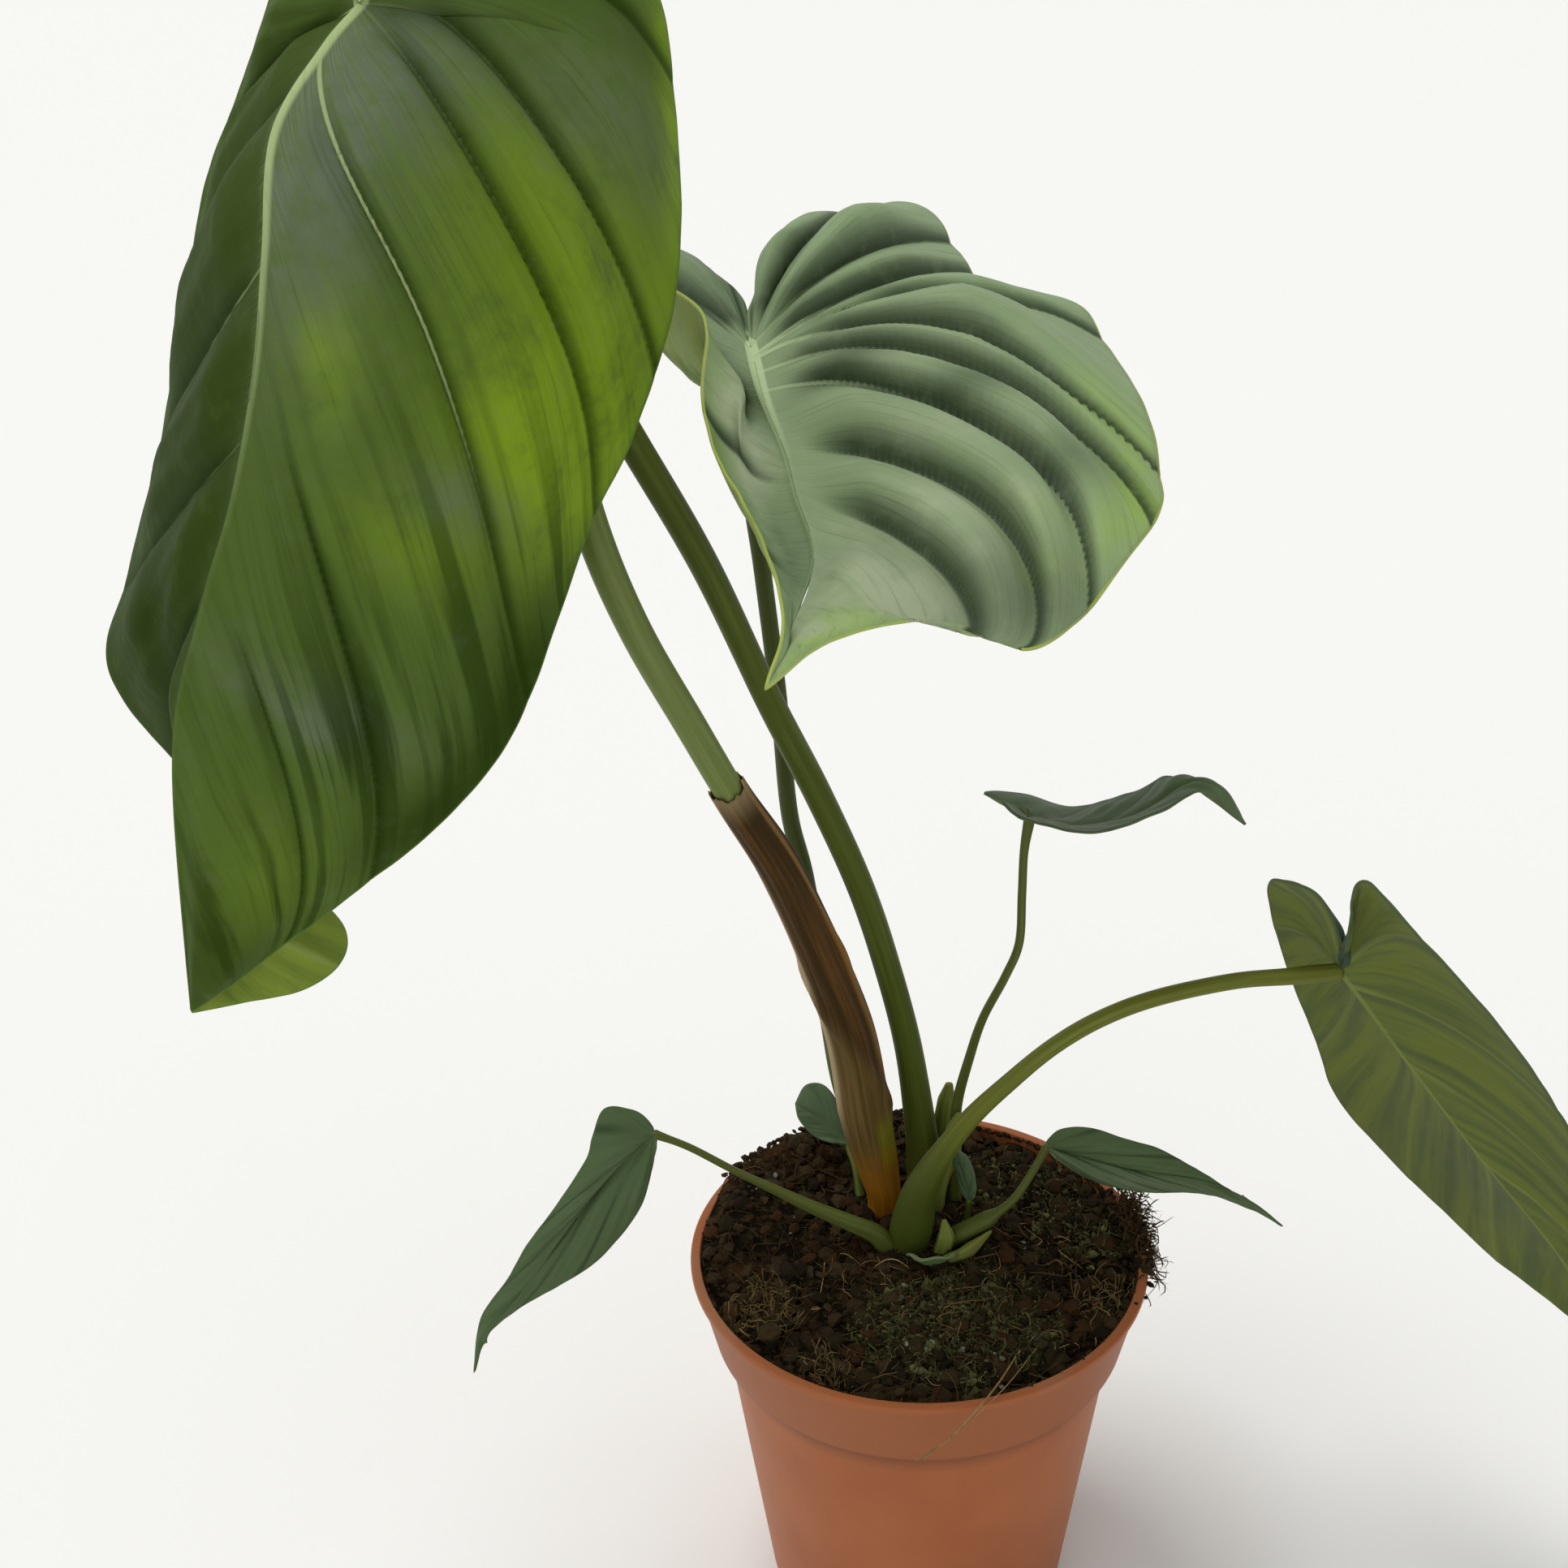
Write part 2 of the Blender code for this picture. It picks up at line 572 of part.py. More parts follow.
def ring_frames(path):
    """Two unit vectors at each point of the path, square to it and each other, turning as little as possible."""
    ahead = np.gradient(path, axis=0)
    ahead /= np.linalg.norm(ahead, axis=1, keepdims=True)
    side = np.cross(ahead[0], (0, 1, 0))
    sides = []
    for direction in ahead:
        side = side - (side @ direction) * direction
        side /= np.linalg.norm(side)
        sides.append(side)
    first = np.array(sides)
    return first, np.cross(ahead, first)


def swept(name, path, outer, inner, sides, finish):
    """A pipe along the path with an outer and inner radius at each point, or a solid spindle with no inner."""
    first, second = ring_frames(path)
    angle = np.linspace(0, 2 * math.pi, sides, endpoint=False)
    around = np.cos(angle)[None, :, None] * first[:, None] + np.sin(angle)[None, :, None] * second[:, None]
    mesh = bmesh.new()
    walls = []
    for radius in (outer, inner):
        if radius is None:
            continue
        rings = path[:, None] + around * np.asarray(radius)[:, None, None]
        walls.append([[mesh.verts.new(point) for point in ring] for ring in rings])
    for rings in walls:
        for ring, following in zip(rings, rings[1:]):
            for k in range(sides):
                n = (k + 1) % sides
                mesh.faces.new((ring[k], ring[n], following[n], following[k]))
    for end in (0, -1):
        if inner is None:
            mesh.faces.new(walls[0][end])
            continue
        for k in range(sides):
            n = (k + 1) % sides
            mesh.faces.new((walls[0][end][k], walls[0][end][n], walls[1][end][n], walls[1][end][k]))
    bmesh.ops.recalc_face_normals(mesh, faces=mesh.faces)
    data = bpy.data.meshes.new(name)
    mesh.to_mesh(data)
    mesh.free()
    data.shade_smooth()
    data.set_sharp_from_angle(angle=math.radians(50))
    return place(name, data, finish)


def make_new_leaf():
    foot = foot_point(*NEW_PETIOLE["foot"], NEW_PETIOLE["radius"][0] + SHEATH_FOOT_WALL / MM)
    lifted = foot + np.array([0, 0, 2 * MM])
    route = [foot, lifted] + [CROWN + np.array(p) * MM for p in NEW_PETIOLE["path"]]
    path = smooth_path(route, 24)
    thick, thin = NEW_PETIOLE["radius"]
    finish = material("young petiole", COLOURS["new_petiole"], 0.4)
    tube("new_petiole", path, (thick, thick, thin, thin), 2, finish)

    spacing = path_length(path) / 24
    covered = path[: round(SHEATH_LENGTH / spacing) + 1]
    share = np.linspace(0, 1, len(covered))
    flat = 1 / math.cos(math.pi / SHEATH_SIDES)
    inner = np.full(len(covered), (thick * MM + FIT) * flat)
    wall = SHEATH_WALL + (SHEATH_FOOT_WALL - SHEATH_WALL) * (1 - share) ** 1.5
    dry = material("dry sheath", COLOURS["sheath"], 0.6)
    swept("brown_sheath", covered, inner + wall, inner, SHEATH_SIDES, dry)

    drawn = smooth_path(ROLLED_BLADE["path"], 12) * MM
    scale = ROLLED_BLADE["length"] / path_length(drawn)
    gap = np.array([0, 0, FIT + 0.4 * MM])
    spindle = path[-1] + gap + drawn * scale
    share = np.linspace(0, 1, len(spindle))
    belly = 0.08 + 0.92 * np.sin(math.pi * (0.22 + 0.78 * share)) ** 0.9
    fresh = material("young leaf", COLOURS["new_petiole"], 0.35)
    swept("rolled_leaf", spindle, ROLLED_BLADE["radius"] * belly, None, 12, fresh)


def make_buds():
    for name, bud in BUDS.items():
        foot = foot_point(*bud["foot"], bud["radius"])
        top = CROWN + np.array(bud["top"]) * MM
        path = smooth_path([foot, foot + (0, 0, 0.004), top], 6)
        radii = (bud["radius"], bud["radius"], 0.9 * bud["radius"], 0.35 * bud["radius"])
        tube(name, path, radii, 2, material("bud sheath", COLOURS["bud"], 0.5))


def make_leaflet():
    """A low curved wall round the front of the right-hand petiole's foot, flaring a little outwards."""
    steps = 8
    mesh = bmesh.new()
    rows = []
    for k in range(steps + 1):
        share = k / steps
        angle = math.radians(LEAFLET["from_angle"] + share * (LEAFLET["to_angle"] - LEAFLET["from_angle"]))
        height = LEAFLET["height"] * (0.35 + 0.65 * math.sin(math.pi * share))
        row = []
        for level, flare in ((0, 0), (0.5, 0.6), (1, 2.0)):
            radius = LEAFLET["inner_radius"] + flare
            row.append(
                mesh.verts.new((
                    (LEAFLET["centre"][0] + radius * math.cos(angle)) * MM,
                    (LEAFLET["centre"][1] + radius * math.sin(angle)) * MM + ROOTSTOCK_CENTRE_Y,
                    SOIL_LEVEL + 2 * FIT + level * height * MM,
                ))
            )
        rows.append(row)
    for row, following in zip(rows, rows[1:]):
        for k in range(2):
            mesh.faces.new((row[k], following[k], following[k + 1], row[k + 1]))
    data = bpy.data.meshes.new("base_leaflet")
    mesh.to_mesh(data)
    mesh.free()
    data.shade_smooth()
    leaflet = place("base_leaflet", data, material("leaflet", COLOURS["far_blade"], 0.5))
    wall = leaflet.modifiers.new("thickness", "SOLIDIFY")
    wall.thickness = LEAFLET["thickness"] * MM
    wall.offset = 1


def main():
    clear_scene()
    make_pot()
    make_soil()
    make_rootstock()
    leaf_green = material("leaf green", COLOURS["blade"], 0.35)
    dull_green = material("leaf blue green", COLOURS["far_blade"], 0.5)
    for name, leaf in LEAVES.items():
        make_petiole(name, leaf)
        large = leaf["steps"] > 3
        finish = leaf_green if name == "front" else dull_green
        make_blade(name, leaf, BLADE_THICKNESS if large else SMALL_BLADE_THICKNESS, finish)
    make_new_leaf()
    make_buds()
    make_leaflet()


main()
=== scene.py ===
import math

import bmesh
import bpy
import numpy as np
from mathutils import Matrix


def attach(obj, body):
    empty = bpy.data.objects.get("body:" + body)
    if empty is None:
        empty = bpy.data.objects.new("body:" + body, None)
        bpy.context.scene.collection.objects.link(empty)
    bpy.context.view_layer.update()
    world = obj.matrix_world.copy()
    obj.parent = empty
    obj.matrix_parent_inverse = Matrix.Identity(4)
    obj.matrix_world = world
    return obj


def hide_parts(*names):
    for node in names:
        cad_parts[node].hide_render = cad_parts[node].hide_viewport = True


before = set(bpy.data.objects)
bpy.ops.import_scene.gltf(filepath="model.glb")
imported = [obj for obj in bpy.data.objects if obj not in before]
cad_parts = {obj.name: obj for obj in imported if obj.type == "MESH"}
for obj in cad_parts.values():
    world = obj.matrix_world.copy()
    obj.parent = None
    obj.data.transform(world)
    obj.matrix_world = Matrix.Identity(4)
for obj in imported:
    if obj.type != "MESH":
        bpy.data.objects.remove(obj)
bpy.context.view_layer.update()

mm = 0.001
print("frame loaded")


# camera, floor and light

view = {
    "place": (-0.0322, -0.3956, 0.4257),
    "down": 25.04,  # degrees below level
    "tilt": -1.51,  # degrees of roll
    "lens": 42.857,  # mm, on a square 36 mm sensor
}
studio = {
    "floor": (0.86, 0.86, 0.85), "floorShade": (0.80, 0.80, 0.79),
    "horizon": (0.87, 0.87, 0.86),
    "sky": (0.36, 0.36, 0.36),
    "fade": (0.34, 0.62),  # the horizon gives way to the sky between these two, as sines of the angle above level
    "skyStrength": 1.0,
    "lamps": [  # where it shines from, strength, softness in degrees, colour
        ((-0.55, 0.20, 1.5), 1.75, 35, (1.0, 0.99, 0.95)),
        ((0.9, -0.5, 0.9), 0.22, 60, (0.95, 0.97, 1.0)),
        ((-0.8, -0.9, 0.8), 0.32, 60, (0.97, 0.99, 1.0)),
    ],
}


def lookFrom(down, tilt):
    # columns are the camera's right, up and back, turned down from level and then rolled
    d, r = math.radians(down), math.radians(tilt)
    ahead = np.array([0, math.cos(d), -math.sin(d)])
    right = np.array([1.0, 0, 0])
    up = np.cross(right, ahead)
    rolledRight, rolledUp = right * math.cos(r) + up * math.sin(r), up * math.cos(r) - right * math.sin(r)
    return placed([rolledRight, rolledUp, -ahead], view["place"])


def placed(axes, place):
    # the matrix with these three axes as its columns, at this place
    full = np.eye(4)
    full[:3, :3] = np.stack(axes, 1)
    full[:3, 3] = place
    return Matrix(full)


def addCamera():
    data = bpy.data.cameras.new("camera")
    data.lens, data.sensor_width, data.sensor_height = view["lens"], 36, 36
    data.clip_start, data.clip_end = 0.01, 100
    camera = bpy.data.objects.new("camera", data)
    bpy.context.collection.objects.link(camera)
    camera.matrix_world = lookFrom(view["down"], view["tilt"])
    bpy.context.scene.camera = camera
    bpy.context.scene.view_settings.view_transform = "Standard"


def addSky():
    # the same pale tone as the floor low down, fading to a dimmer sky overhead
    world = bpy.data.worlds.new("studio")
    world.use_nodes = True
    background = world.node_tree.nodes["Background"]
    background.inputs["Strength"].default_value = studio["skyStrength"]
    sky = NodeTree(world.node_tree)
    height = sky.parts(sky.node("ShaderNodeTexCoord"))[2]
    colour = sky.mix(sky.step(height, *studio["fade"]), studio["horizon"], studio["sky"])
    sky.put(background.inputs["Color"], colour)
    bpy.context.scene.world = world


def addLamps():
    for number, (place, strength, softness, colour) in enumerate(studio["lamps"]):
        lamp = bpy.data.lights.new("softLight" + str(number), "SUN")
        lamp.energy, lamp.angle, lamp.color = strength, math.radians(softness), colour
        thing = bpy.data.objects.new(lamp.name, lamp)
        bpy.context.collection.objects.link(thing)
        back = np.array(place) / np.linalg.norm(place)
        side = np.cross((0, 0, 1), back)
        side /= np.linalg.norm(side)
        thing.matrix_world = placed([side, np.cross(back, side), back], place)


def makeFloor():
    data = bpy.data.meshes.new("floor")
    data.from_pydata([(-40, -40, 0), (40, -40, 0), (40, 40, 0), (-40, 40, 0)], [], [(0, 1, 2, 3)])
    pale = Finish("pale floor", Roughness=0.8)
    pale.set("Base Color", pale.mix(pale.noise(pale.space(), 3, 3) * 0.03, studio["floor"], studio["floorShade"]))
    data.materials.append(pale.material)
    floor = bpy.data.objects.new("floor", data)
    bpy.context.collection.objects.link(floor)


# shader maths

class Wire:
    # one output socket; each operator adds the Math node that works it out
    def __init__(self, tree, socket):
        self.tree, self.socket = tree, socket

    def maths(self, operation, *values):
        return self.tree.node("ShaderNodeMath", {"operation": operation}, dict(enumerate(values)))

    def __add__(self, other):
        return self.maths("ADD", self, other)

    def __radd__(self, other):
        return self.maths("ADD", other, self)

    def __sub__(self, other):
        return self.maths("SUBTRACT", self, other)

    def __rsub__(self, other):
        return self.maths("SUBTRACT", other, self)

    def __mul__(self, other):
        return self.maths("MULTIPLY", self, other)

    def __rmul__(self, other):
        return self.maths("MULTIPLY", other, self)

    def __truediv__(self, other):
        return self.maths("DIVIDE", self, other)

    def __abs__(self):
        return self.maths("ABSOLUTE", self)

    def larger(self, other):
        return self.maths("MAXIMUM", self, other)

    def fraction(self):
        return self.maths("FRACT", self)


class NodeTree:
    # a tree whose nodes are added one call at a time
    def __init__(self, tree):
        self.tree = tree

    def node(self, kind, settings=None, sockets=None, output=0):
        made = self.tree.nodes.new(kind)
        for key, value in (settings or {}).items():
            setattr(made, key, value)
        for key, value in (sockets or {}).items():
            self.put(made.inputs[key], value)
        return Wire(self, made.outputs[output])

    def put(self, socket, value):
        if isinstance(value, Wire):
            self.tree.links.new(socket, value.socket)
        elif socket.type == "RGBA":
            socket.default_value = (*value, 1)
        else:
            socket.default_value = value

    def mix(self, share, first, second):
        return self.node("ShaderNodeMix", {"data_type": "RGBA"}, {0: share, 6: first, 7: second}, 2)

    def step(self, value, low, high, start=0.0, end=1.0):
        # a smooth step of the value, from start at low to end at high
        return self.node(
            "ShaderNodeMapRange", {"interpolation_type": "SMOOTHSTEP"},
            {0: value, 1: low, 2: high, 3: start, 4: end},
        )

    def near(self, value, centre, core, reach):
        # 1 within core of the centre, falling to 0 at reach from it
        return self.step(abs(value - centre), core, reach, 1.0, 0.0)

    def noise(self, place, scale, detail=3.0, rough=0.55):
        sockets = {"Vector": place, "Scale": scale, "Detail": detail, "Roughness": rough}
        return self.node("ShaderNodeTexNoise", {}, sockets)

    def parts(self, vector):
        # the x, y and z of a vector
        split = self.node("ShaderNodeSeparateXYZ", {}, {0: vector})
        return [Wire(self, socket) for socket in split.socket.node.outputs]

    def vector(self, x, y, z=0.0):
        return self.node("ShaderNodeCombineXYZ", {}, {0: x, 1: y, 2: z})


class Finish(NodeTree):
    # a Principled material
    def __init__(self, name, **fixed):
        self.material = bpy.data.materials.new(name)
        self.material.use_nodes = True
        super().__init__(self.material.node_tree)
        self.shader = self.tree.nodes["Principled BSDF"]
        for socket, value in fixed.items():
            self.shader.inputs[socket.replace("_", " ")].default_value = value

    def set(self, socket, value):
        self.put(self.shader.inputs[socket], value)

    def mapOf(self, name):
        # the pair of numbers that a piece keeps in its map of this name
        return self.parts(self.node("ShaderNodeUVMap", {"uv_map": name}))[:2]

    def space(self):
        return self.node("ShaderNodeTexCoord", {}, {}, 3)

    def bump(self, height, distance, strength=1.0):
        sockets = {"Height": height, "Distance": distance, "Strength": strength}
        self.set("Normal", self.node("ShaderNodeBump", {}, sockets))


# meshes

def addPiece(name, points, faces, finishes, maps=None, merge=1e-7, smooth=True):
    # points and faces as arrays; maps hold a pair of numbers for each point
    data = bpy.data.meshes.new(name)
    data.from_pydata(np.asarray(points).tolist(), [], np.asarray(faces).tolist())
    corner = np.empty(len(data.loops), np.int32)
    data.loops.foreach_get("vertex_index", corner)
    for key, values in (maps or {}).items():
        layer = data.uv_layers.new(name=key)
        layer.data.foreach_set("uv", np.asarray(values, np.float32)[corner].ravel())
    for finish in finishes:
        data.materials.append(finish)
    if merge:
        shell = bmesh.new()
        shell.from_mesh(data)
        bmesh.ops.remove_doubles(shell, verts=shell.verts, dist=merge)
        shell.to_mesh(data)
        shell.free()
    if smooth:
        data.shade_smooth()
    data.update()
    thing = bpy.data.objects.new(name, data)
    bpy.context.collection.objects.link(thing)
    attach(thing, "root")
    return thing


def pairs(first, second):
    # two values for each point of a grid, as a map
    return np.stack(np.broadcast_arrays(first, second), -1).reshape(-1, 2)


def gridFaces(rows, columns, wrap=False):
    # quads of a grid of points, rows by columns, the last column joined to the first when it wraps
    index = np.arange(rows * columns).reshape(rows, columns)
    right = np.roll(index, -1, axis=1) if wrap else index[:, 1:]
    left = index if wrap else index[:, :-1]
    return np.stack([left[:-1], right[:-1], right[1:], left[1:]], -1).reshape(-1, 4)


def smoothPath(points, count):
    # count + 1 points, evenly spaced along the Catmull-Rom curve through the given ones
    given = np.array(points, float)
    p = np.vstack([2 * given[0] - given[1], given, 2 * given[-1] - given[-2]])
    fine = np.linspace(0, len(given) - 1, 40 * len(given))
    span = np.minimum(fine.astype(int), len(given) - 2)
    t = (fine - span)[:, None]
    a, b, c, d = p[span], p[span + 1], p[span + 2], p[span + 3]
    curve = 0.5 * (2 * b + (c - a) * t + (2 * a - 5 * b + 4 * c - d) * t**2 + (3 * b - a - 3 * c + d) * t**3)
    along = lengthAlong(curve)
    return eachOf(np.linspace(0, along[-1], count + 1), along, curve)


def eachOf(wanted, along, path):
    # the path's points at the wanted lengths, interpolated
    return np.stack([np.interp(wanted, along, path[:, k]) for k in range(3)], axis=1)


def lengthAlong(path):
    return np.concatenate([[0], np.cumsum(np.linalg.norm(np.diff(path, axis=0), axis=1))])


def smoothStep(value, low, high):
    t = np.clip((value - low) / (high - low), 0, 1)
    return t * t * (3 - 2 * t)


def ripple(points, size, seed, waves=7):
    # smooth noise between about -1 and 1: a mean of sines along random directions, with features of this size
    dice = np.random.default_rng(seed)
    ways = dice.normal(size=(waves, 3))
    ways *= dice.uniform(0.6, 1.6, (waves, 1)) * math.pi / size / np.linalg.norm(ways, axis=1, keepdims=True)
    return np.sin(np.asarray(points) @ ways.T + dice.uniform(0, 6.3, waves)).mean(-1) * 1.6


def ringFrames(path):
    # two vectors square to the path at each of its points, turning as little as they can, and the way ahead
    ahead = np.gradient(path, axis=0)
    ahead /= np.linalg.norm(ahead, axis=1, keepdims=True)
    side = np.cross(ahead[0], (0, 1, 0))
    sides = []
    for way in ahead:
        side = side - (side @ way) * way
        side /= np.linalg.norm(side)
        sides.append(side)
    sides = np.array(sides)
    return sides, np.cross(ahead, sides), ahead


def carry(name, path, radius, finishes, around=24, shape=None):
    # a closed stem: a ring of the given radius carried along the path. shape(turn, share) scales the ring, with
    # turn from 0 to 1 round it and share from 0 to 1 along it. Its ends shrink to a point as a quarter circle does
    first, second, ahead = ringFrames(path)
    radius = np.broadcast_to(radius, len(path)).astype(float)
    share = lengthAlong(path) / lengthAlong(path)[-1]
    bend = np.linspace(0, 1, 6)
    fall, push = np.cos(bend * math.pi / 2), np.sin(bend * math.pi / 2)
    lead, long = slice(None, 0, -1), 0.6  # the ends' lengths as a share of their radii
    path = np.vstack([
        path[:1] - ahead[:1] * radius[0] * push[lead, None] * long, path,
        path[-1:] + ahead[-1:] * radius[-1] * push[1:, None] * long,
    ])
    radius = np.concatenate([radius[0] * fall[lead], radius, radius[-1] * fall[1:]])
    share, first, second = (np.pad(a, [(5, 5)] + [(0, 0)] * (a.ndim - 1), "edge") for a in (share, first, second))
    turn = np.linspace(0, 1, around + 1)
    angle = 2 * math.pi * turn
    scale = np.ones((len(path), around + 1))
    if shape is not None:
        scale = shape(turn[None], share[:, None]) * scale
    ring = np.cos(angle)[None, :, None] * first[:, None] + np.sin(angle)[None, :, None] * second[:, None]
    points = path[:, None] + ring * (radius[:, None] * scale)[:, :, None]
    maps = {"stem": pairs(turn[None], lengthAlong(path)[:, None] * 10)}  # the turn, and the length in decimetres
    return addPiece(name, points.reshape(-1, 3), gridFaces(len(path), around + 1), finishes, maps, merge=2e-6)


def crownPoint(place):
    # the plant is drawn in millimetres from a point on the soil, above the middle of the rootstock
    return (np.array([0, 16, 103]) + np.array(place, float)) * mm


# the pot: a thin turned shell with a collar, a rolled lip, a foot ring and drainage holes
pot = {
    "rim": 60.0, "height": 105.0, "base": 41.0, "wall": 1.5,  # radii and heights, mm
    "collar": 21.5, "collarTaper": 4.4, "collarStep": 2.8,
    "lip": 1.8, "overhang": 1.0,
    "foot": 5.0, "disc": 13.0, "rise": 2.5,
    "holes": 8, "holeRadius": 3.5, "holeCircle": 24.0,
    "around": 224,
    "colour": (0.368, 0.112, 0.036),
    "shade": (0.295, 0.084, 0.025),
    "band": (0.255, 0.078, 0.022),
    # a painted shadow, darkest just under the collar's step
    "under": (0.090, 0.030, 0.011),
    "dust": (0.360, 0.190, 0.100),
}


def roundedProfile(corners, steps=5):
    # a closed outline of (radius, height, rounding): each corner becomes a parabola between points that lie its
    # rounding away from it on both sides
    flat = np.array(corners, float)
    here, size = flat[:, :2], flat[:, 2:]
    before, after = np.roll(here, 1, 0) - here, np.roll(here, -1, 0) - here
    start = here + before / np.linalg.norm(before, axis=1, keepdims=True) * size
    end = here + after / np.linalg.norm(after, axis=1, keepdims=True) * size
    t = np.linspace(0, 1, steps)[None, :, None]
    curve = start[:, None] * (1 - t) ** 2 + 2 * here[:, None] * t * (1 - t) + end[:, None] * t**2
    return curve.reshape(-1, 2)


def closingFaces(rows, around):
    # the quads that join the last row of a wrapped grid to its first
    last = np.arange(around)
    top = (rows - 1) * around
    return np.stack([last + top, np.roll(last, -1) + top, np.roll(last, -1), last], -1)


def turnedPiece(name, profile, around, finish, shift):
    # a closed profile of (radius, height) in mm, turned about the pot's axis; shift(points) then moves the points
    turn = np.linspace(0, 2 * math.pi, around, endpoint=False)
    radius, height = profile[:, :1], profile[:, 1:]
    points = shift(np.stack(np.broadcast_arrays(radius * np.cos(turn), radius * np.sin(turn), height), -1))
    faces = np.vstack([gridFaces(len(profile), around, wrap=True), closingFaces(len(profile), around)])
    return addPiece(name, points.reshape(-1, 3) * mm, faces[:, ::-1], [finish], merge=1e-6)


def drill(thing, centres, radius, low, high):
    # upright round holes through the piece
    tool = bmesh.new()
    for x, y in centres:
        sizes = {"radius1": radius, "radius2": radius, "depth": high - low}
        pin = bmesh.ops.create_cone(tool, cap_ends=True, segments=40, **sizes)
        bmesh.ops.translate(tool, verts=pin["verts"], vec=(x, y, (low + high) / 2))
    data = bpy.data.meshes.new("drill")
    tool.to_mesh(data)
    tool.free()
    cutter = bpy.data.objects.new("drill", data)
    bpy.context.collection.objects.link(cutter)
    hole = thing.modifiers.new("holes", "BOOLEAN")
    hole.operation, hole.solver, hole.object = "DIFFERENCE", "EXACT", cutter
    bpy.context.view_layer.update()
    made = bpy.data.meshes.new_from_object(thing.evaluated_get(bpy.context.evaluated_depsgraph_get()))
    thing.modifiers.clear()
    thing.data = made
    bpy.data.objects.remove(cutter)


def potFinish():
    plastic = Finish("terracotta plastic", Metallic=0.0, Specular_IOR_Level=0.22)
    place = plastic.space()
    height = plastic.parts(place)[2]
    cloud = plastic.noise(place, 28, 3)
    grain = plastic.noise(place, 900, 2)
    drawn = plastic.noise(plastic.node("ShaderNodeMapping", {}, {0: place, 3: (160, 160, 9)}), 1.0, 3)
    rim, collarFoot = pot["height"] * mm, (pot["height"] - pot["collar"]) * mm
    # painted shadow under the collar: the body darkens over the few mm below the collar's foot
    under = plastic.step(height, collarFoot - 0.0085, collarFoot - 0.0012)
    under = under * plastic.step(height, collarFoot, collarFoot + 0.0016, 1.0, 0.0)
    band = plastic.step(height, collarFoot, collarFoot + 0.002) * plastic.step(height, rim - 0.003, rim, 1.0, 0.3)
    top = plastic.step(height, rim - 0.006, rim - 0.0005)
    base = plastic.mix(plastic.step(cloud, 0.35, 0.75) * 0.6, pot["colour"], pot["shade"])
    base = plastic.mix(drawn * 0.18, base, pot["shade"])
    base = plastic.mix(band * 0.7, base, pot["band"])
    # the painted shadow under the collar
    base = plastic.mix(under * 0.62, base, pot["under"])
    base = plastic.mix(top * plastic.step(cloud, 0.45, 0.62) * 0.35, base, pot["dust"])
    plastic.set("Base Color", base)
    plastic.set("Roughness", 0.40 + 0.14 * cloud + 0.06 * grain)
    plastic.bump(grain * 0.7 + drawn * 0.6, 0.00012, 0.5)
    return plastic.material


def makePot():
    height, base, wall, disc, rise = pot["height"], pot["base"], pot["wall"], pot["disc"], pot["rise"]
    top = pot["rim"] - pot["overhang"]
    low = top - pot["collarTaper"]
    collarFoot = height - pot["collar"]
    body = low - pot["collarStep"]
    ledge, floor = collarFoot + wall, rise + wall
    ring = base - pot["foot"]  # the foot ring's inner radius
    lowWall = base + (body - base) * floor / collarFoot - wall
    profile = roundedProfile([
        (top - wall, height, 0.35), (pot["rim"], height, 0.6), (pot["rim"], height - pot["lip"], 0.5),
        (top - 0.05, height - pot["lip"], 0.35), (low, collarFoot, 0.7), (body, collarFoot, 0.5), (base, 0, 1.0),
        (ring, 0, 0.6), (ring - rise, rise, 0.6), (disc + rise, rise, 0.6), (disc, 0, 0.6), (0, 0, 0), (0, wall, 0),
        (disc, wall, 0.6), (disc + rise, floor, 0.6), (ring - rise, floor, 0.6), (lowWall, floor, 0.8),
        (body - wall, ledge, 0.5), (low - wall, ledge, 0.5),
    ])

    def settle(points):
        # the thin rim is a few tenths of a millimetre out of round
        turn = np.arctan2(points[..., 1], points[..., 0])
        out = 0.25 * np.sin(2 * turn + 0.6) * smoothStep(points[..., 2], 20, 105)
        return points * np.stack([1 + out / 60, 1 + out / 60, np.ones_like(out)], -1)

    shell = turnedPiece("plantPot", profile, pot["around"], potFinish(), settle)
    circle = pot["holeCircle"] * mm
    turns = [2 * math.pi * (k + 0.5) / pot["holes"] for k in range(pot["holes"])]
    centres = [(circle * math.cos(a), circle * math.sin(a)) for a in turns]
    drill(shell, centres, pot["holeRadius"] * mm, -0.002, 0.008)
    shell.data.shade_smooth()
    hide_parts("pot")
    print("pot made")


# the soil: a crumbly disc with lumps, threads of root and peat, moss and perlite on it
soil = {
    "top": 103.0, "heap": 6.5, "rightHeap": 2.0, "radius": 57.2, "reach": 56.8,
    "crumbs": 2100, "crumbSize": (0.5, 3.0),
    "threads": 520, "moss": 1500, "perlite": 60,
    "earth": (0.006, 0.004, 0.002), "earthPale": (0.044, 0.029, 0.012), "earthRed": (0.046, 0.019, 0.006),
    "root": (0.090, 0.056, 0.022), "straw": (0.420, 0.270, 0.110), "mossDark": (0.012, 0.014, 0.005),
    "mossy": (0.155, 0.158, 0.062), "stone": (0.260, 0.270, 0.230),
    "mossAt": (0.008, -0.028, 0.103), "mossReach": 0.030,
}


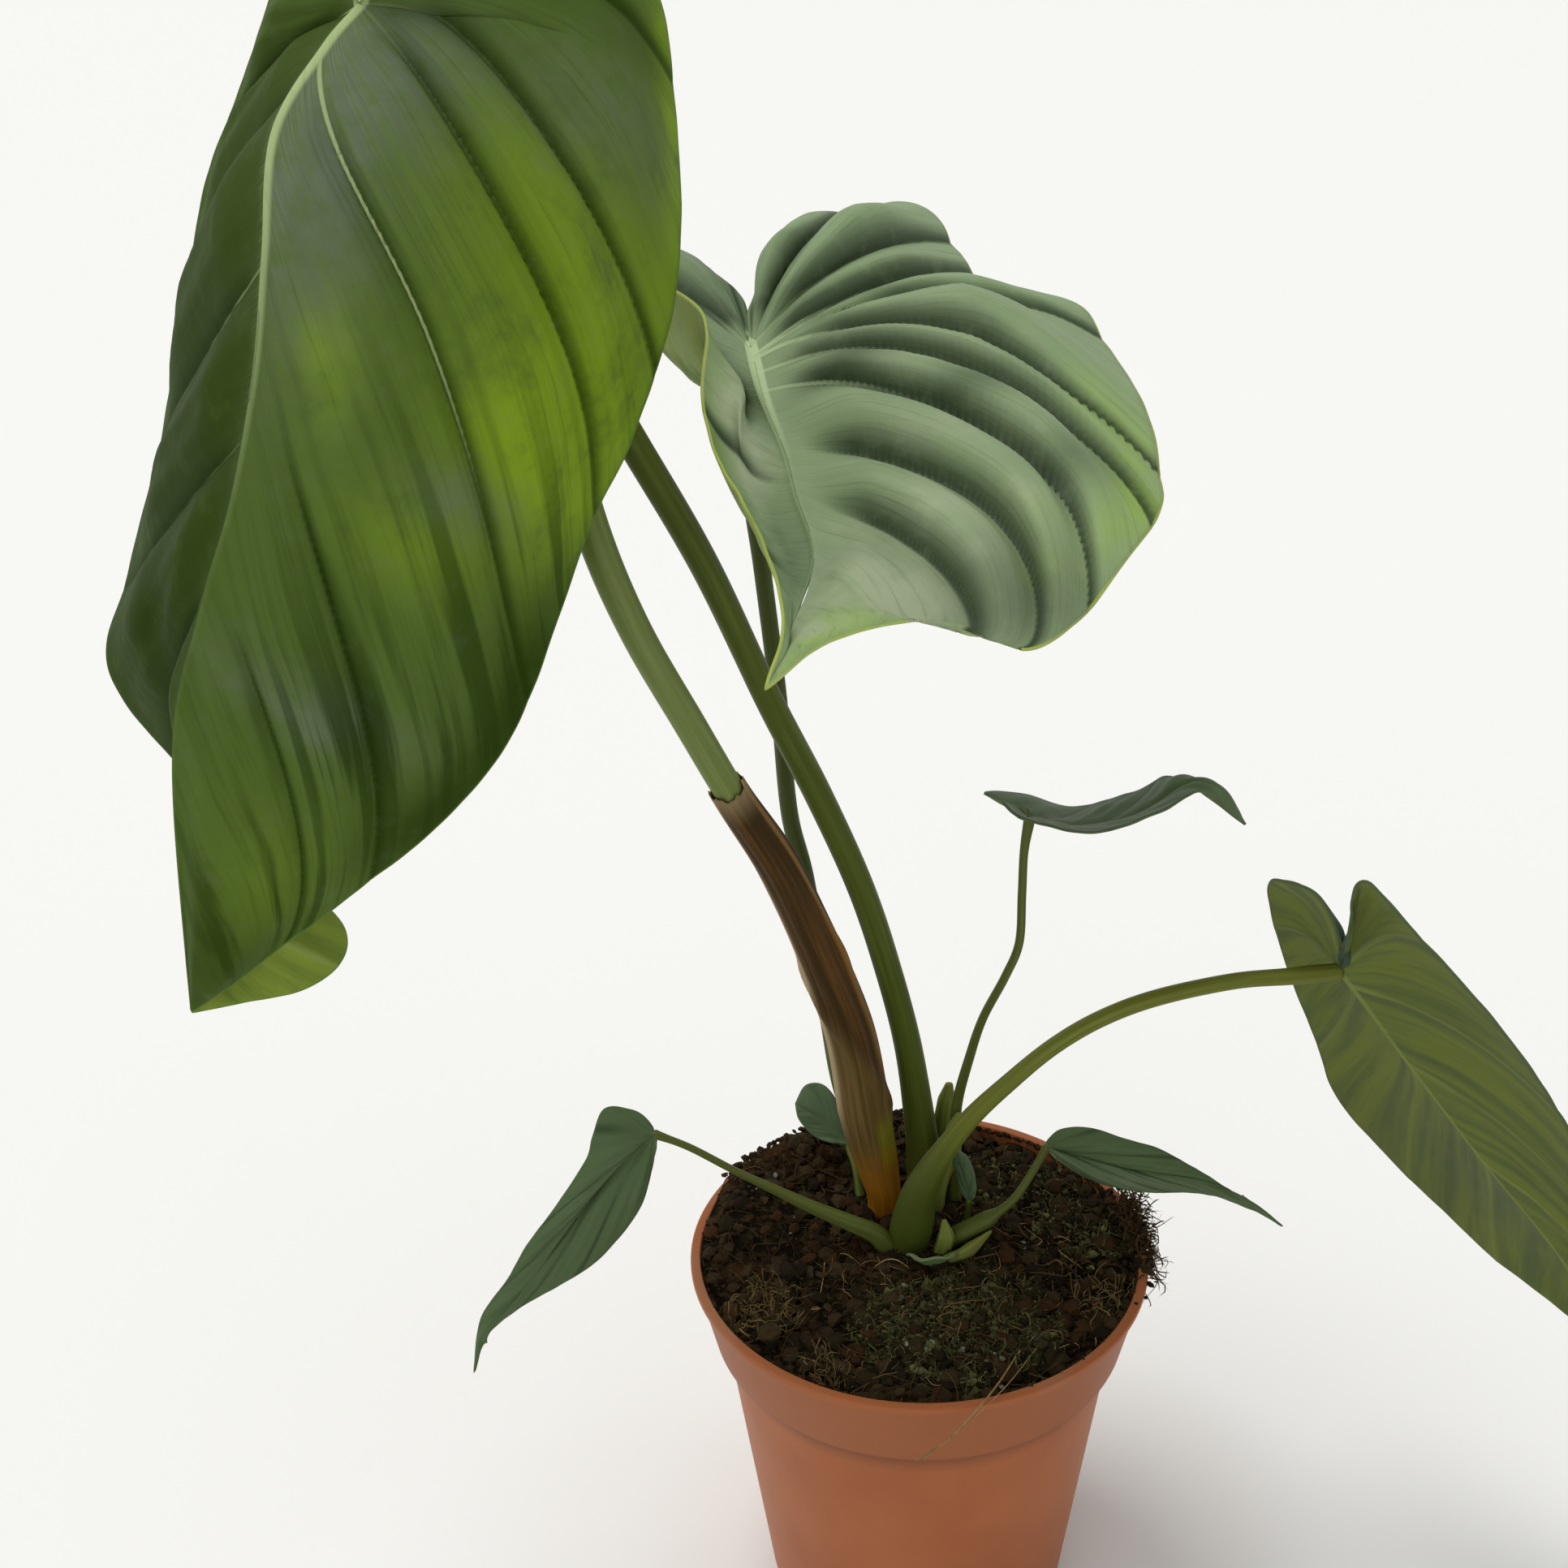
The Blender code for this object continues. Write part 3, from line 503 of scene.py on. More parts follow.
def soilHeight(x, y):
    # level round the rootstock, heaped to the back left and a little to the right rim, and rough all over; mm
    out = np.clip((np.hypot(x, y - 16) - 20) / 22, 0, 1)
    heap = soil["heap"] * np.clip((0.75 * y - x) / 70, 0, 1.2) ** 1.5
    heap = heap + soil["rightHeap"] * np.clip((x - 0.2 * abs(y) - 25) / 30, 0, 1)
    flat = np.stack([x, y, 0 * x], -1)
    rough = 1.2 * ripple(flat, 11, 3, 9) + 0.95 * ripple(flat, 4.6, 4, 11) + 0.5 * ripple(flat, 2.1, 5, 13)
    fall = 1.6 * smoothStep(np.hypot(x, y), 50, soil["radius"])
    return soil["top"] - 0.6 + out * heap + rough * (0.35 + 0.65 * out) - fall


def soilFinish():
    earth = Finish("peat", Roughness=0.95, Specular_IOR_Level=0.05)
    place = earth.space()
    broad, lump, grit = earth.noise(place, 45, 4), earth.noise(place, 260, 4), earth.noise(place, 1300, 3)
    base = earth.mix(earth.step(lump, 0.45, 0.75), soil["earth"], soil["earthPale"])
    base = earth.mix(earth.step(broad, 0.52, 0.68) * 0.7, base, soil["earthRed"])
    base = earth.mix(earth.step(grit, 0.62, 0.78) * 0.5, base, soil["earthPale"])
    away = earth.node("ShaderNodeVectorMath", {"operation": "DISTANCE"}, {0: place, 1: soil["mossAt"]}, 1)
    mossy = earth.step(away, 0.4 * soil["mossReach"], 1.1 * soil["mossReach"], 1.0, 0.0)
    base = earth.mix(mossy * earth.step(lump * 0.6 + grit * 0.4, 0.42, 0.62) * 0.7, base, soil["mossy"])
    earth.set("Base Color", base)
    earth.bump(lump + 0.5 * grit, 0.0011, 1.0)
    return earth.material


def tonedFinish(name, dark, light, red, rough=0.9, grain=900.0):
    # crumbs and threads: each one keeps its own pair of random tones in its map
    matter = Finish(name, Roughness=rough, Specular_IOR_Level=0.08)
    place = matter.space()
    tone, hue = matter.mapOf("tone")
    fine = matter.noise(place, grain, 3)
    base = matter.mix(tone, dark, light)
    base = matter.mix(matter.step(hue, 0.55, 1.0) * 0.8, base, red)
    matter.set("Base Color", matter.mix(matter.step(fine, 0.4, 0.8) * 0.5, base, dark))
    matter.bump(fine, 0.0003, 0.8)
    return matter.material


def lumps(name, places, sizes, finish, seed, flat=0.75):
    # irregular pebbles: an icosahedron at each place, its corners pushed in or out and the whole turned at random
    dice = np.random.default_rng(seed)
    g = (1 + 5**0.5) / 2
    corners = np.array([(-1, g, 0), (1, g, 0), (-1, -g, 0), (1, -g, 0), (0, -1, g), (0, 1, g), (0, -1, -g),
                        (0, 1, -g), (g, 0, -1), (g, 0, 1), (-g, 0, -1), (-g, 0, 1)]) / 1.902
    sides = np.array([(0, 11, 5), (0, 5, 1), (0, 1, 7), (0, 7, 10), (0, 10, 11), (1, 5, 9), (5, 11, 4), (11, 10, 2),
                      (10, 7, 6), (7, 1, 8), (3, 9, 4), (3, 4, 2), (3, 2, 6), (3, 6, 8), (3, 8, 9), (4, 9, 5),
                      (2, 4, 11), (6, 2, 10), (8, 6, 7), (9, 8, 1)])
    count = len(places)
    body = corners[None] * dice.uniform(0.68, 1.25, (count, 12, 1)) * dice.uniform(0.6, 1.3, (count, 1, 3))
    spin = np.linalg.qr(dice.normal(size=(count, 3, 3)))[0]
    spin *= np.sign(np.linalg.det(spin))[:, None, None]
    body = body @ spin * (1, 1, flat) * np.asarray(sizes)[:, None, None]
    points = (body + places[:, None]).reshape(-1, 3)
    faces = (sides[None] + 12 * np.arange(count)[:, None, None]).reshape(-1, 3)
    tones = np.repeat(dice.uniform(0, 1, (count, 2)), 12, axis=0)
    return addPiece(name, points * mm, faces, [finish], {"tone": tones}, merge=0, smooth=False)


def threads(name, starts, ways, lengths, radius, finish, seed, curl, droop=0.0, rings=9, lift=None, stay=True):
    # fine fibres: from each start along its way, bent sideways by two sines and pulled down by its droop, round with
    # three sides and shrinking to a point at both ends. With a lift they lie on the soil, arched by that share of
    # their length. Those that stay keep inside the rim
    dice = np.random.default_rng(seed)
    count = len(starts)
    ways = ways / np.linalg.norm(ways, axis=1, keepdims=True)
    side = np.cross(ways, dice.normal(size=(count, 3)))
    side /= np.linalg.norm(side, axis=1, keepdims=True)
    other = np.cross(ways, side)
    t = np.linspace(0, 1, rings)[None, :, None]
    length = np.asarray(lengths)[:, None, None]
    a, b = dice.uniform(2, 6, (2, count, 1, 1))
    c, d = dice.uniform(0, 6.3, (2, count, 1, 1))
    bend = side[:, None] * (np.sin(a * t + c) - np.sin(c)) + other[:, None] * (np.sin(b * t + d) - np.sin(d))
    path = starts[:, None] + length * (ways[:, None] * t + curl * t * bend)
    path = path - length * np.asarray(droop).reshape(-1, 1, 1) * t**2 * np.array([0, 0, 1.0])
    if stay:
        out = np.hypot(path[..., 0], path[..., 1])
        path[..., :2] *= np.minimum(1, soil["reach"] / np.maximum(out, 1))[..., None]
    if lift is not None:
        arch = (length * dice.uniform(0, lift, (count, 1, 1)) * 4 * t * (1 - t))[..., 0]
        path[..., 2] = soilHeight(path[..., 0], path[..., 1]) + 0.15 + arch
    thick = np.broadcast_to(radius, count)[:, None, None, None] * (4 * t * (1 - t))[..., None] ** 0.3
    angle = (np.arange(3) * 2 * math.pi / 3)[None, None, :, None]
    ring = np.cos(angle) * side[:, None, None] + np.sin(angle) * other[:, None, None]
    points = (path[:, :, None] + thick * ring).reshape(-1, 3)
    one = gridFaces(rings, 3, wrap=True)
    faces = (one[None] + 3 * rings * np.arange(count)[:, None, None]).reshape(-1, 4)
    tones = np.repeat(dice.uniform(0, 1, (count, 2)), 3 * rings, axis=0)
    return addPiece(name, points * mm, faces, [finish], {"tone": tones}, merge=1e-7)


def scatter(dice, count, centre=(0, 0), spread=55.0, squash=1.0):
    # random places on the soil inside a disc, as an array of x, y and the soil's height
    angle, out = dice.uniform(0, 2 * math.pi, count), spread * np.sqrt(dice.uniform(0, 1, count))
    x, y = centre[0] + out * np.cos(angle), centre[1] + out * np.sin(angle) * squash
    return np.stack([x, y, soilHeight(x, y)], -1)


def makeSoilBody():
    rings = np.linspace(0, 1, 86)[:, None] ** 0.85 * soil["radius"]
    top = np.hstack([rings, np.full_like(rings, soil["top"])])
    profile = np.vstack([top, [(57.0, 100.0), (53.1, 85.3), (51.1, 85.3), (39.9, 4.3), (0, 4.3)]])

    def heap(points):
        level = points[..., 2] > soil["top"] - 0.01
        height = soilHeight(points[..., 0], points[..., 1])
        return np.where(level[..., None], np.stack([points[..., 0], points[..., 1], height], -1), points)

    body = turnedPiece("soilBody", profile[::-1], 300, soilFinish(), heap)
    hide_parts("soil")


def makeCrumbs(dice):
    # crumbs all over, on the rim and along the pot's wall; grains of perlite; and small lumps of moss
    crumb = tonedFinish("crumbs", soil["earth"], soil["earthPale"], soil["earthRed"])
    places = scatter(dice, soil["crumbs"], spread=56.5)
    least, most = soil["crumbSize"]
    sizes = least + (most - least) * dice.uniform(0, 1, len(places)) ** 2.6
    places[:, 2] += 0.15 * sizes
    lumps("soilCrumbs", places, sizes, crumb, 12)
    angle = np.concatenate([dice.normal(0.08, 0.16, 170), dice.uniform(1.55, 2.6, 190)])
    out = dice.uniform(55.5, 61.2, len(angle))
    height = 104.8 + dice.uniform(0, 1.6, len(angle)) - 0.5 * (out > 60)
    edge = np.stack([out * np.cos(angle), out * np.sin(angle), height], -1)
    lumps("rimCrumbs", edge, dice.uniform(0.4, 1.4, len(angle)), crumb, 13)
    angle = dice.uniform(0, 2 * math.pi, 620)
    height = 103.6 + dice.uniform(0, 0.9, len(angle))
    ring = np.stack([soil["radius"] * np.cos(angle), soil["radius"] * np.sin(angle), height], -1)
    lumps("edgeCrumbs", ring, dice.uniform(0.4, 1.1, len(angle)), crumb, 15)

    grit = tonedFinish("perlite", (0.07, 0.07, 0.06), soil["stone"], (0.16, 0.16, 0.11), 0.85)
    places = np.vstack([scatter(dice, soil["perlite"], (8, -28), 26, 0.7), scatter(dice, 26, spread=54)])
    lumps("perliteGrains", places + (0, 0, 0.3), dice.uniform(0.3, 1.05, len(places)), grit, 14)

    moss = tonedFinish("moss lumps", soil["mossDark"], soil["mossy"], soil["root"], 0.95)
    places = [scatter(dice, 620, (8, -30), 27, 0.7), scatter(dice, 260, (30, 24), 17),
              scatter(dice, 160, (42, 2), 12)]
    places = np.vstack(places) + (0, 0, 0.2)
    lumps("mossLumps", places, 0.3 + 1.0 * dice.uniform(0, 1, len(places)) ** 2, moss, 16)


def makeThreads(dice):
    root = tonedFinish("root fibres", soil["earthPale"], soil["root"], soil["earthRed"], 0.85)
    straw = tonedFinish("straw fibres", soil["root"], soil["straw"], soil["earthRed"], 0.8)
    moss = tonedFinish("moss", soil["mossDark"], soil["mossy"], (0.120, 0.095, 0.035), 0.95)
    ochre = tonedFinish("dry moss", soil["root"], (0.230, 0.150, 0.050), soil["mossy"], 0.9)

    def lying(count, rise):
        way = dice.normal(size=(count, 3))
        way[:, 2] = np.abs(way[:, 2]) * rise
        return way

    def strew(name, places, rise, length, thick, finish, seed, curl, **more):
        # threads from these places, with random lengths and radii between two values
        n = len(places)
        ways, lengths, radii = lying(n, rise), dice.uniform(*length, n), dice.uniform(*thick, n)
        threads(name, places, ways, lengths, radii, finish, seed, curl, **more)

    strew("rootThreads", scatter(dice, soil["threads"], spread=56), 0.18, (3, 15), (0.09, 0.24), root, 21, 0.45,
          lift=0.16)
    strew("strawThreads", scatter(dice, 170, (10, -24), 42), 0.2, (3, 12), (0.09, 0.19), straw, 22, 0.5, lift=0.25)
    places = [scatter(dice, soil["moss"], (8, -29), 27, 0.72), scatter(dice, 260, (28, 26), 15),
              scatter(dice, 160, (42, 4), 11)]
    places = np.vstack(places) - (0, 0, 0.4)
    strew("mossThreads", places, 0.8, (1.0, 3.8), (0.12, 0.30), moss, 23, 0.7, droop=0.05, rings=6)
    places = [scatter(dice, 260, (-41, -23), 9), scatter(dice, 120, (-26, -44), 6),
              scatter(dice, 120, (46, -22), 8)]
    strew("dryMoss", np.vstack(places), 0.8, (1.5, 5.0), (0.10, 0.22), ochre, 26, 0.7, droop=0.05, rings=6)

    # a matted tuft over the right rim, with some of it hanging
    n = 420
    starts = [58.5 + dice.normal(0, 1.5, n), dice.normal(6, 8.5, n), 105.0 + dice.uniform(-0.6, 1.8, n)]
    ways = [dice.normal(0.2, 0.6, n), dice.normal(0, 1.0, n), dice.normal(-0.1, 0.45, n)]
    threads("rimTufts", np.stack(starts, -1), np.stack(ways, -1), dice.uniform(1.5, 5.0, n),
            dice.uniform(0.12, 0.30, n), root, 24, 0.7, dice.uniform(0, 0.5, n), 7, stay=False)
    n = 46
    starts = [61.3 + dice.normal(0, 0.6, n), dice.normal(-1, 1.0, n), 101.5 + dice.normal(0, 2.6, n)]
    ways = [dice.normal(0, 0.35, n), dice.normal(0, 0.4, n), dice.uniform(-1, -0.5, n)]
    threads("hangingTuft", np.stack(starts, -1), np.stack(ways, -1), dice.uniform(2.5, 9, n),
            dice.uniform(0.12, 0.26, n), root, 25, 0.5, 0.1, 7, stay=False)


def makeLongFibres():
    # two long fibres that lie over the front rim
    route = np.array([(22, -40, 104.5), (15, -53, 106), (9, -60.8, 105.4), (3, -62.6, 99), (-4, -62.4, 92)], float)
    fibre = Finish("long fibres", Roughness=0.8, Specular_IOR_Level=0.1)
    fibre.set("Base Color", fibre.mix(fibre.noise(fibre.space(), 400, 2), soil["root"], soil["straw"]))
    for name, apart, radius in (("longFibre", (0, 0, 0), 0.2), ("longFibreThin", (4.0, 0.4, 0), 0.13)):
        path = smoothPath(route + np.array(apart) * np.linspace(1, -0.3, 5)[:, None], 40)
        carry(name, path * mm, radius * mm, [fibre.material], 6)


def makeSoil():
    dice = np.random.default_rng(11)
    makeSoilBody()
    makeCrumbs(dice)
    makeThreads(dice)
    makeLongFibres()
    print("soil made")


# a stem's skin: lengthwise streaks over two greens, and small pale flecks
def stemFinish(name, look):
    skin = Finish(name, Specular_IOR_Level=look.get("gloss", 0.14))
    turn, along = skin.mapOf("stem")
    streak = skin.noise(skin.vector(turn * look["lines"], along * 1.6), 1.0, 4)
    cloud = skin.noise(skin.space(), 55.0, 3)
    fleck = skin.noise(skin.space(), 1500, 2)
    base = skin.mix(skin.step(streak, 0.3, 0.72), look["deep"], look["light"])
    base = skin.mix(skin.step(cloud, 0.4, 0.7) * look.get("patch", 0.5), base, look["other"])
    if "foot" in look:
        colour, low, high = look["foot"]
        base = skin.mix(skin.step(along + 0.05 * cloud, low, high, 1.0, 0.0), base, colour)
    base = skin.mix(skin.step(fleck, 0.68, 0.78) * 0.25, base, look["fleck"])
    skin.set("Base Color", base)
    skin.set("Roughness", 0.42 + 0.16 * cloud)
    skin.bump(streak * 0.7 + fleck * 0.2, look.get("relief", 0.00025), 0.7)
    return skin.material


# a foot has its own colour, which fades out between two lengths in decimetres
stemLooks = {
    "dark": {"deep": (0.048, 0.066, 0.007), "light": (0.082, 0.108, 0.016), "other": (0.062, 0.076, 0.008),
             "fleck": (0.12, 0.15, 0.05), "foot": ((0.075, 0.085, 0.010), 0.05, 0.45), "lines": 12.0, "gloss": 0.10},
    "middle": {"deep": (0.040, 0.056, 0.010), "light": (0.070, 0.090, 0.020), "other": (0.050, 0.058, 0.010),
               "fleck": (0.12, 0.14, 0.05), "lines": 9.0},
    "pale": {"deep": (0.120, 0.160, 0.036), "light": (0.175, 0.220, 0.070), "other": (0.150, 0.185, 0.048),
             "fleck": (0.26, 0.32, 0.14), "patch": 0.6, "lines": 12.0},
    "arch": {"deep": (0.100, 0.118, 0.012), "light": (0.170, 0.185, 0.034), "other": (0.125, 0.130, 0.014),
             "fleck": (0.20, 0.22, 0.07), "foot": ((0.052, 0.068, 0.008), 0.20, 0.60), "lines": 12.0},
    "thin": {"deep": (0.060, 0.078, 0.012), "light": (0.110, 0.130, 0.028), "other": (0.080, 0.088, 0.014),
             "fleck": (0.15, 0.17, 0.06), "lines": 8.0},
}

# each petiole: its points in mm from the crown, (share, radius) pairs, and the tip, where its blade starts
petioles = {
    "front": {
        "tip": (-101, -66, 310), "look": "dark",
        "path": [(4, 10, -4), (4, 10, 5), (3, 10, 18), (-1, 7, 49), (-7, 3, 77), (-14, -2, 103), (-24, -8, 131),
                 (-35, -16, 159), (-48, -26, 195), (-62, -37, 227), (-78, -47, 262), (-90, -53, 288),
                 (-98, -58, 302), (-100.5, -63, 307.5)],
        "radii": [(0, 5.4), (0.05, 4.6), (0.11, 3.9), (0.2, 3.5), (0.5, 3.3), (0.93, 3.2), (0.985, 3.2), (1, 2.6)],
    },
    "middle": {
        "tip": (-37, 4, 235), "look": "middle",
        "path": [(-9, 16, -4), (-11, 16, 6), (-15, 17, 18), (-19, 17, 33), (-22, 17, 54), (-27, 15, 95),
                 (-31, 14, 116), (-33, 13, 148), (-36, 11, 182), (-38, 9, 202), (-38, 8, 220), (-37, 5.5, 231.5)],
        "radii": [(0, 3.4), (0.08, 2.7), (0.3, 2.3), (0.8, 2.1), (0.97, 2.3), (1, 2.0)],
    },
    "right": {
        "tip": (102, -21, 86), "look": "arch",
        "path": [(-2, -10, -3), (-1, -11, 6), (2, -12, 20), (12, -14, 39), (24, -17, 55), (34, -19, 66),
                 (45, -20, 74), (58, -21, 80), (76, -21, 84), (90, -21, 85), (101.5, -21, 86)],
        "radii": [(0, 5.6), (0.05, 6.0), (0.12, 4.9), (0.19, 3.5), (0.26, 2.8), (0.38, 2.3), (0.5, 2.1), (0.9, 2.0),
                  (0.98, 2.3), (1, 1.9)],
    },
    "upright": {
        "tip": (27, -6, 122), "look": "thin",
        "path": [(12, 8, -3), (12, 8, 5), (12, 7, 15), (12, 6, 31), (15, 4, 48), (18, 2, 61), (23, -1, 75),
                 (26, -3, 86), (26, -5, 101), (26, -6, 113), (27, -6, 121.8)],
        "radii": [(0, 2.2), (0.12, 1.6), (0.5, 1.15), (0.95, 1.05), (1, 1.5)],
    },
    "left": {
        "tip": (-68, -16, 40), "look": "thin",
        "path": [(-8, -12, -1), (-11, -12, 3), (-16, -12, 6), (-23, -11, 9), (-30, -11, 13), (-38, -11, 18),
                 (-48, -12, 25), (-59, -14, 34), (-67.6, -15.9, 39.8)],
        "radii": [(0, 3.0), (0.12, 2.4), (0.42, 1.5), (0.6, 1.0), (0.95, 0.95), (1, 1.3)],
    },
    "small_right": {
        "tip": (35, -4, 24), "look": "thin",
        "path": [(8, -12, -1), (10, -12, 1.5), (14, -12, 4), (20, -11, 7), (26, -9, 11), (31, -6, 17),
                 (35, -4, 23.8)],
        "radii": [(0, 2.4), (0.15, 2.6), (0.36, 2.3), (0.44, 1.2), (0.9, 1.0), (1, 1.2)],
    },
    "back": {
        "tip": (-17, 20, 9), "look": "thin",
        "path": [(-14, 10, -1), (-15, 14, 5), (-17, 20, 8.8)],
        "radii": [(0, 1.4), (0.6, 1.0), (1, 1.0)],
    },
    "tiny": {
        "tip": (14.5, -5, 8), "look": "thin",
        "path": [(14, -3, -1), (14.5, -4, 4), (14.5, -5, 7.8)],
        "radii": [(0, 1.0), (0.6, 0.75), (1, 0.8)],
    },
}


def sevenRibs(turn, share):
    # nearly round, with seven shallow ribs
    return 1 + 0.015 * np.cos(7 * 2 * math.pi * turn)


def makePetioles():
    skins = {name: stemFinish(name + " petiole", look) for name, look in stemLooks.items()}
    for name, stem in petioles.items():
        path = smoothPath([crownPoint(place) for place in stem["path"]], 110)
        radius = np.interp(np.linspace(0, 1, len(path)), *np.array(stem["radii"]).T)
        radius = np.convolve(np.pad(radius, 4, "edge"), np.ones(9) / 9, "valid") * mm  # evened out over nine rings
        radius *= 1 + 0.02 * ripple(path, 0.018, 7)
        piece = carry(name + "Petiole", path, radius, [skins[stem["look"]]], 32, sevenRibs)
        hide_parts(name + "_petiole")
    print("petioles made")


# the blades: a midrib and two margins in mm from the junction, where the petiole meets the blade. A margin runs from
# the notch behind the junction, round the lobe, to the tip. up is the side of a half that faces the sky, and dome
# its rise over the chord of a vein. Each vein is (root, margin, bend, paleness): shares along the margin at its root
# and end, with a bend under 1 if it turns early. Patches are (half, share, way out, their two sizes, strength). What
# starts with both holds for the two halves, and plainBlade gives what a blade doesn't say.
plainBlade = {
    "round": 0.8, "skew": 0.9, "marginHold": 0.2, "notchHold": 0, "veinFade": (0.10, 0.40), "bothCalm": (2, 3),
    "dents": [], "lightThrough": [], "paintedSheen": [], "streaky": [], "shade": [],
    "bothVeins": [(0.2, 0.24, 1.0, 0.2), (0.36, 0.55, 0.8, 0.2), (0.55, 0.76, 0.8, 0.1)],
    "bothDome": (0.05, 0.08, 0.08, 0.05, 0.0),
}
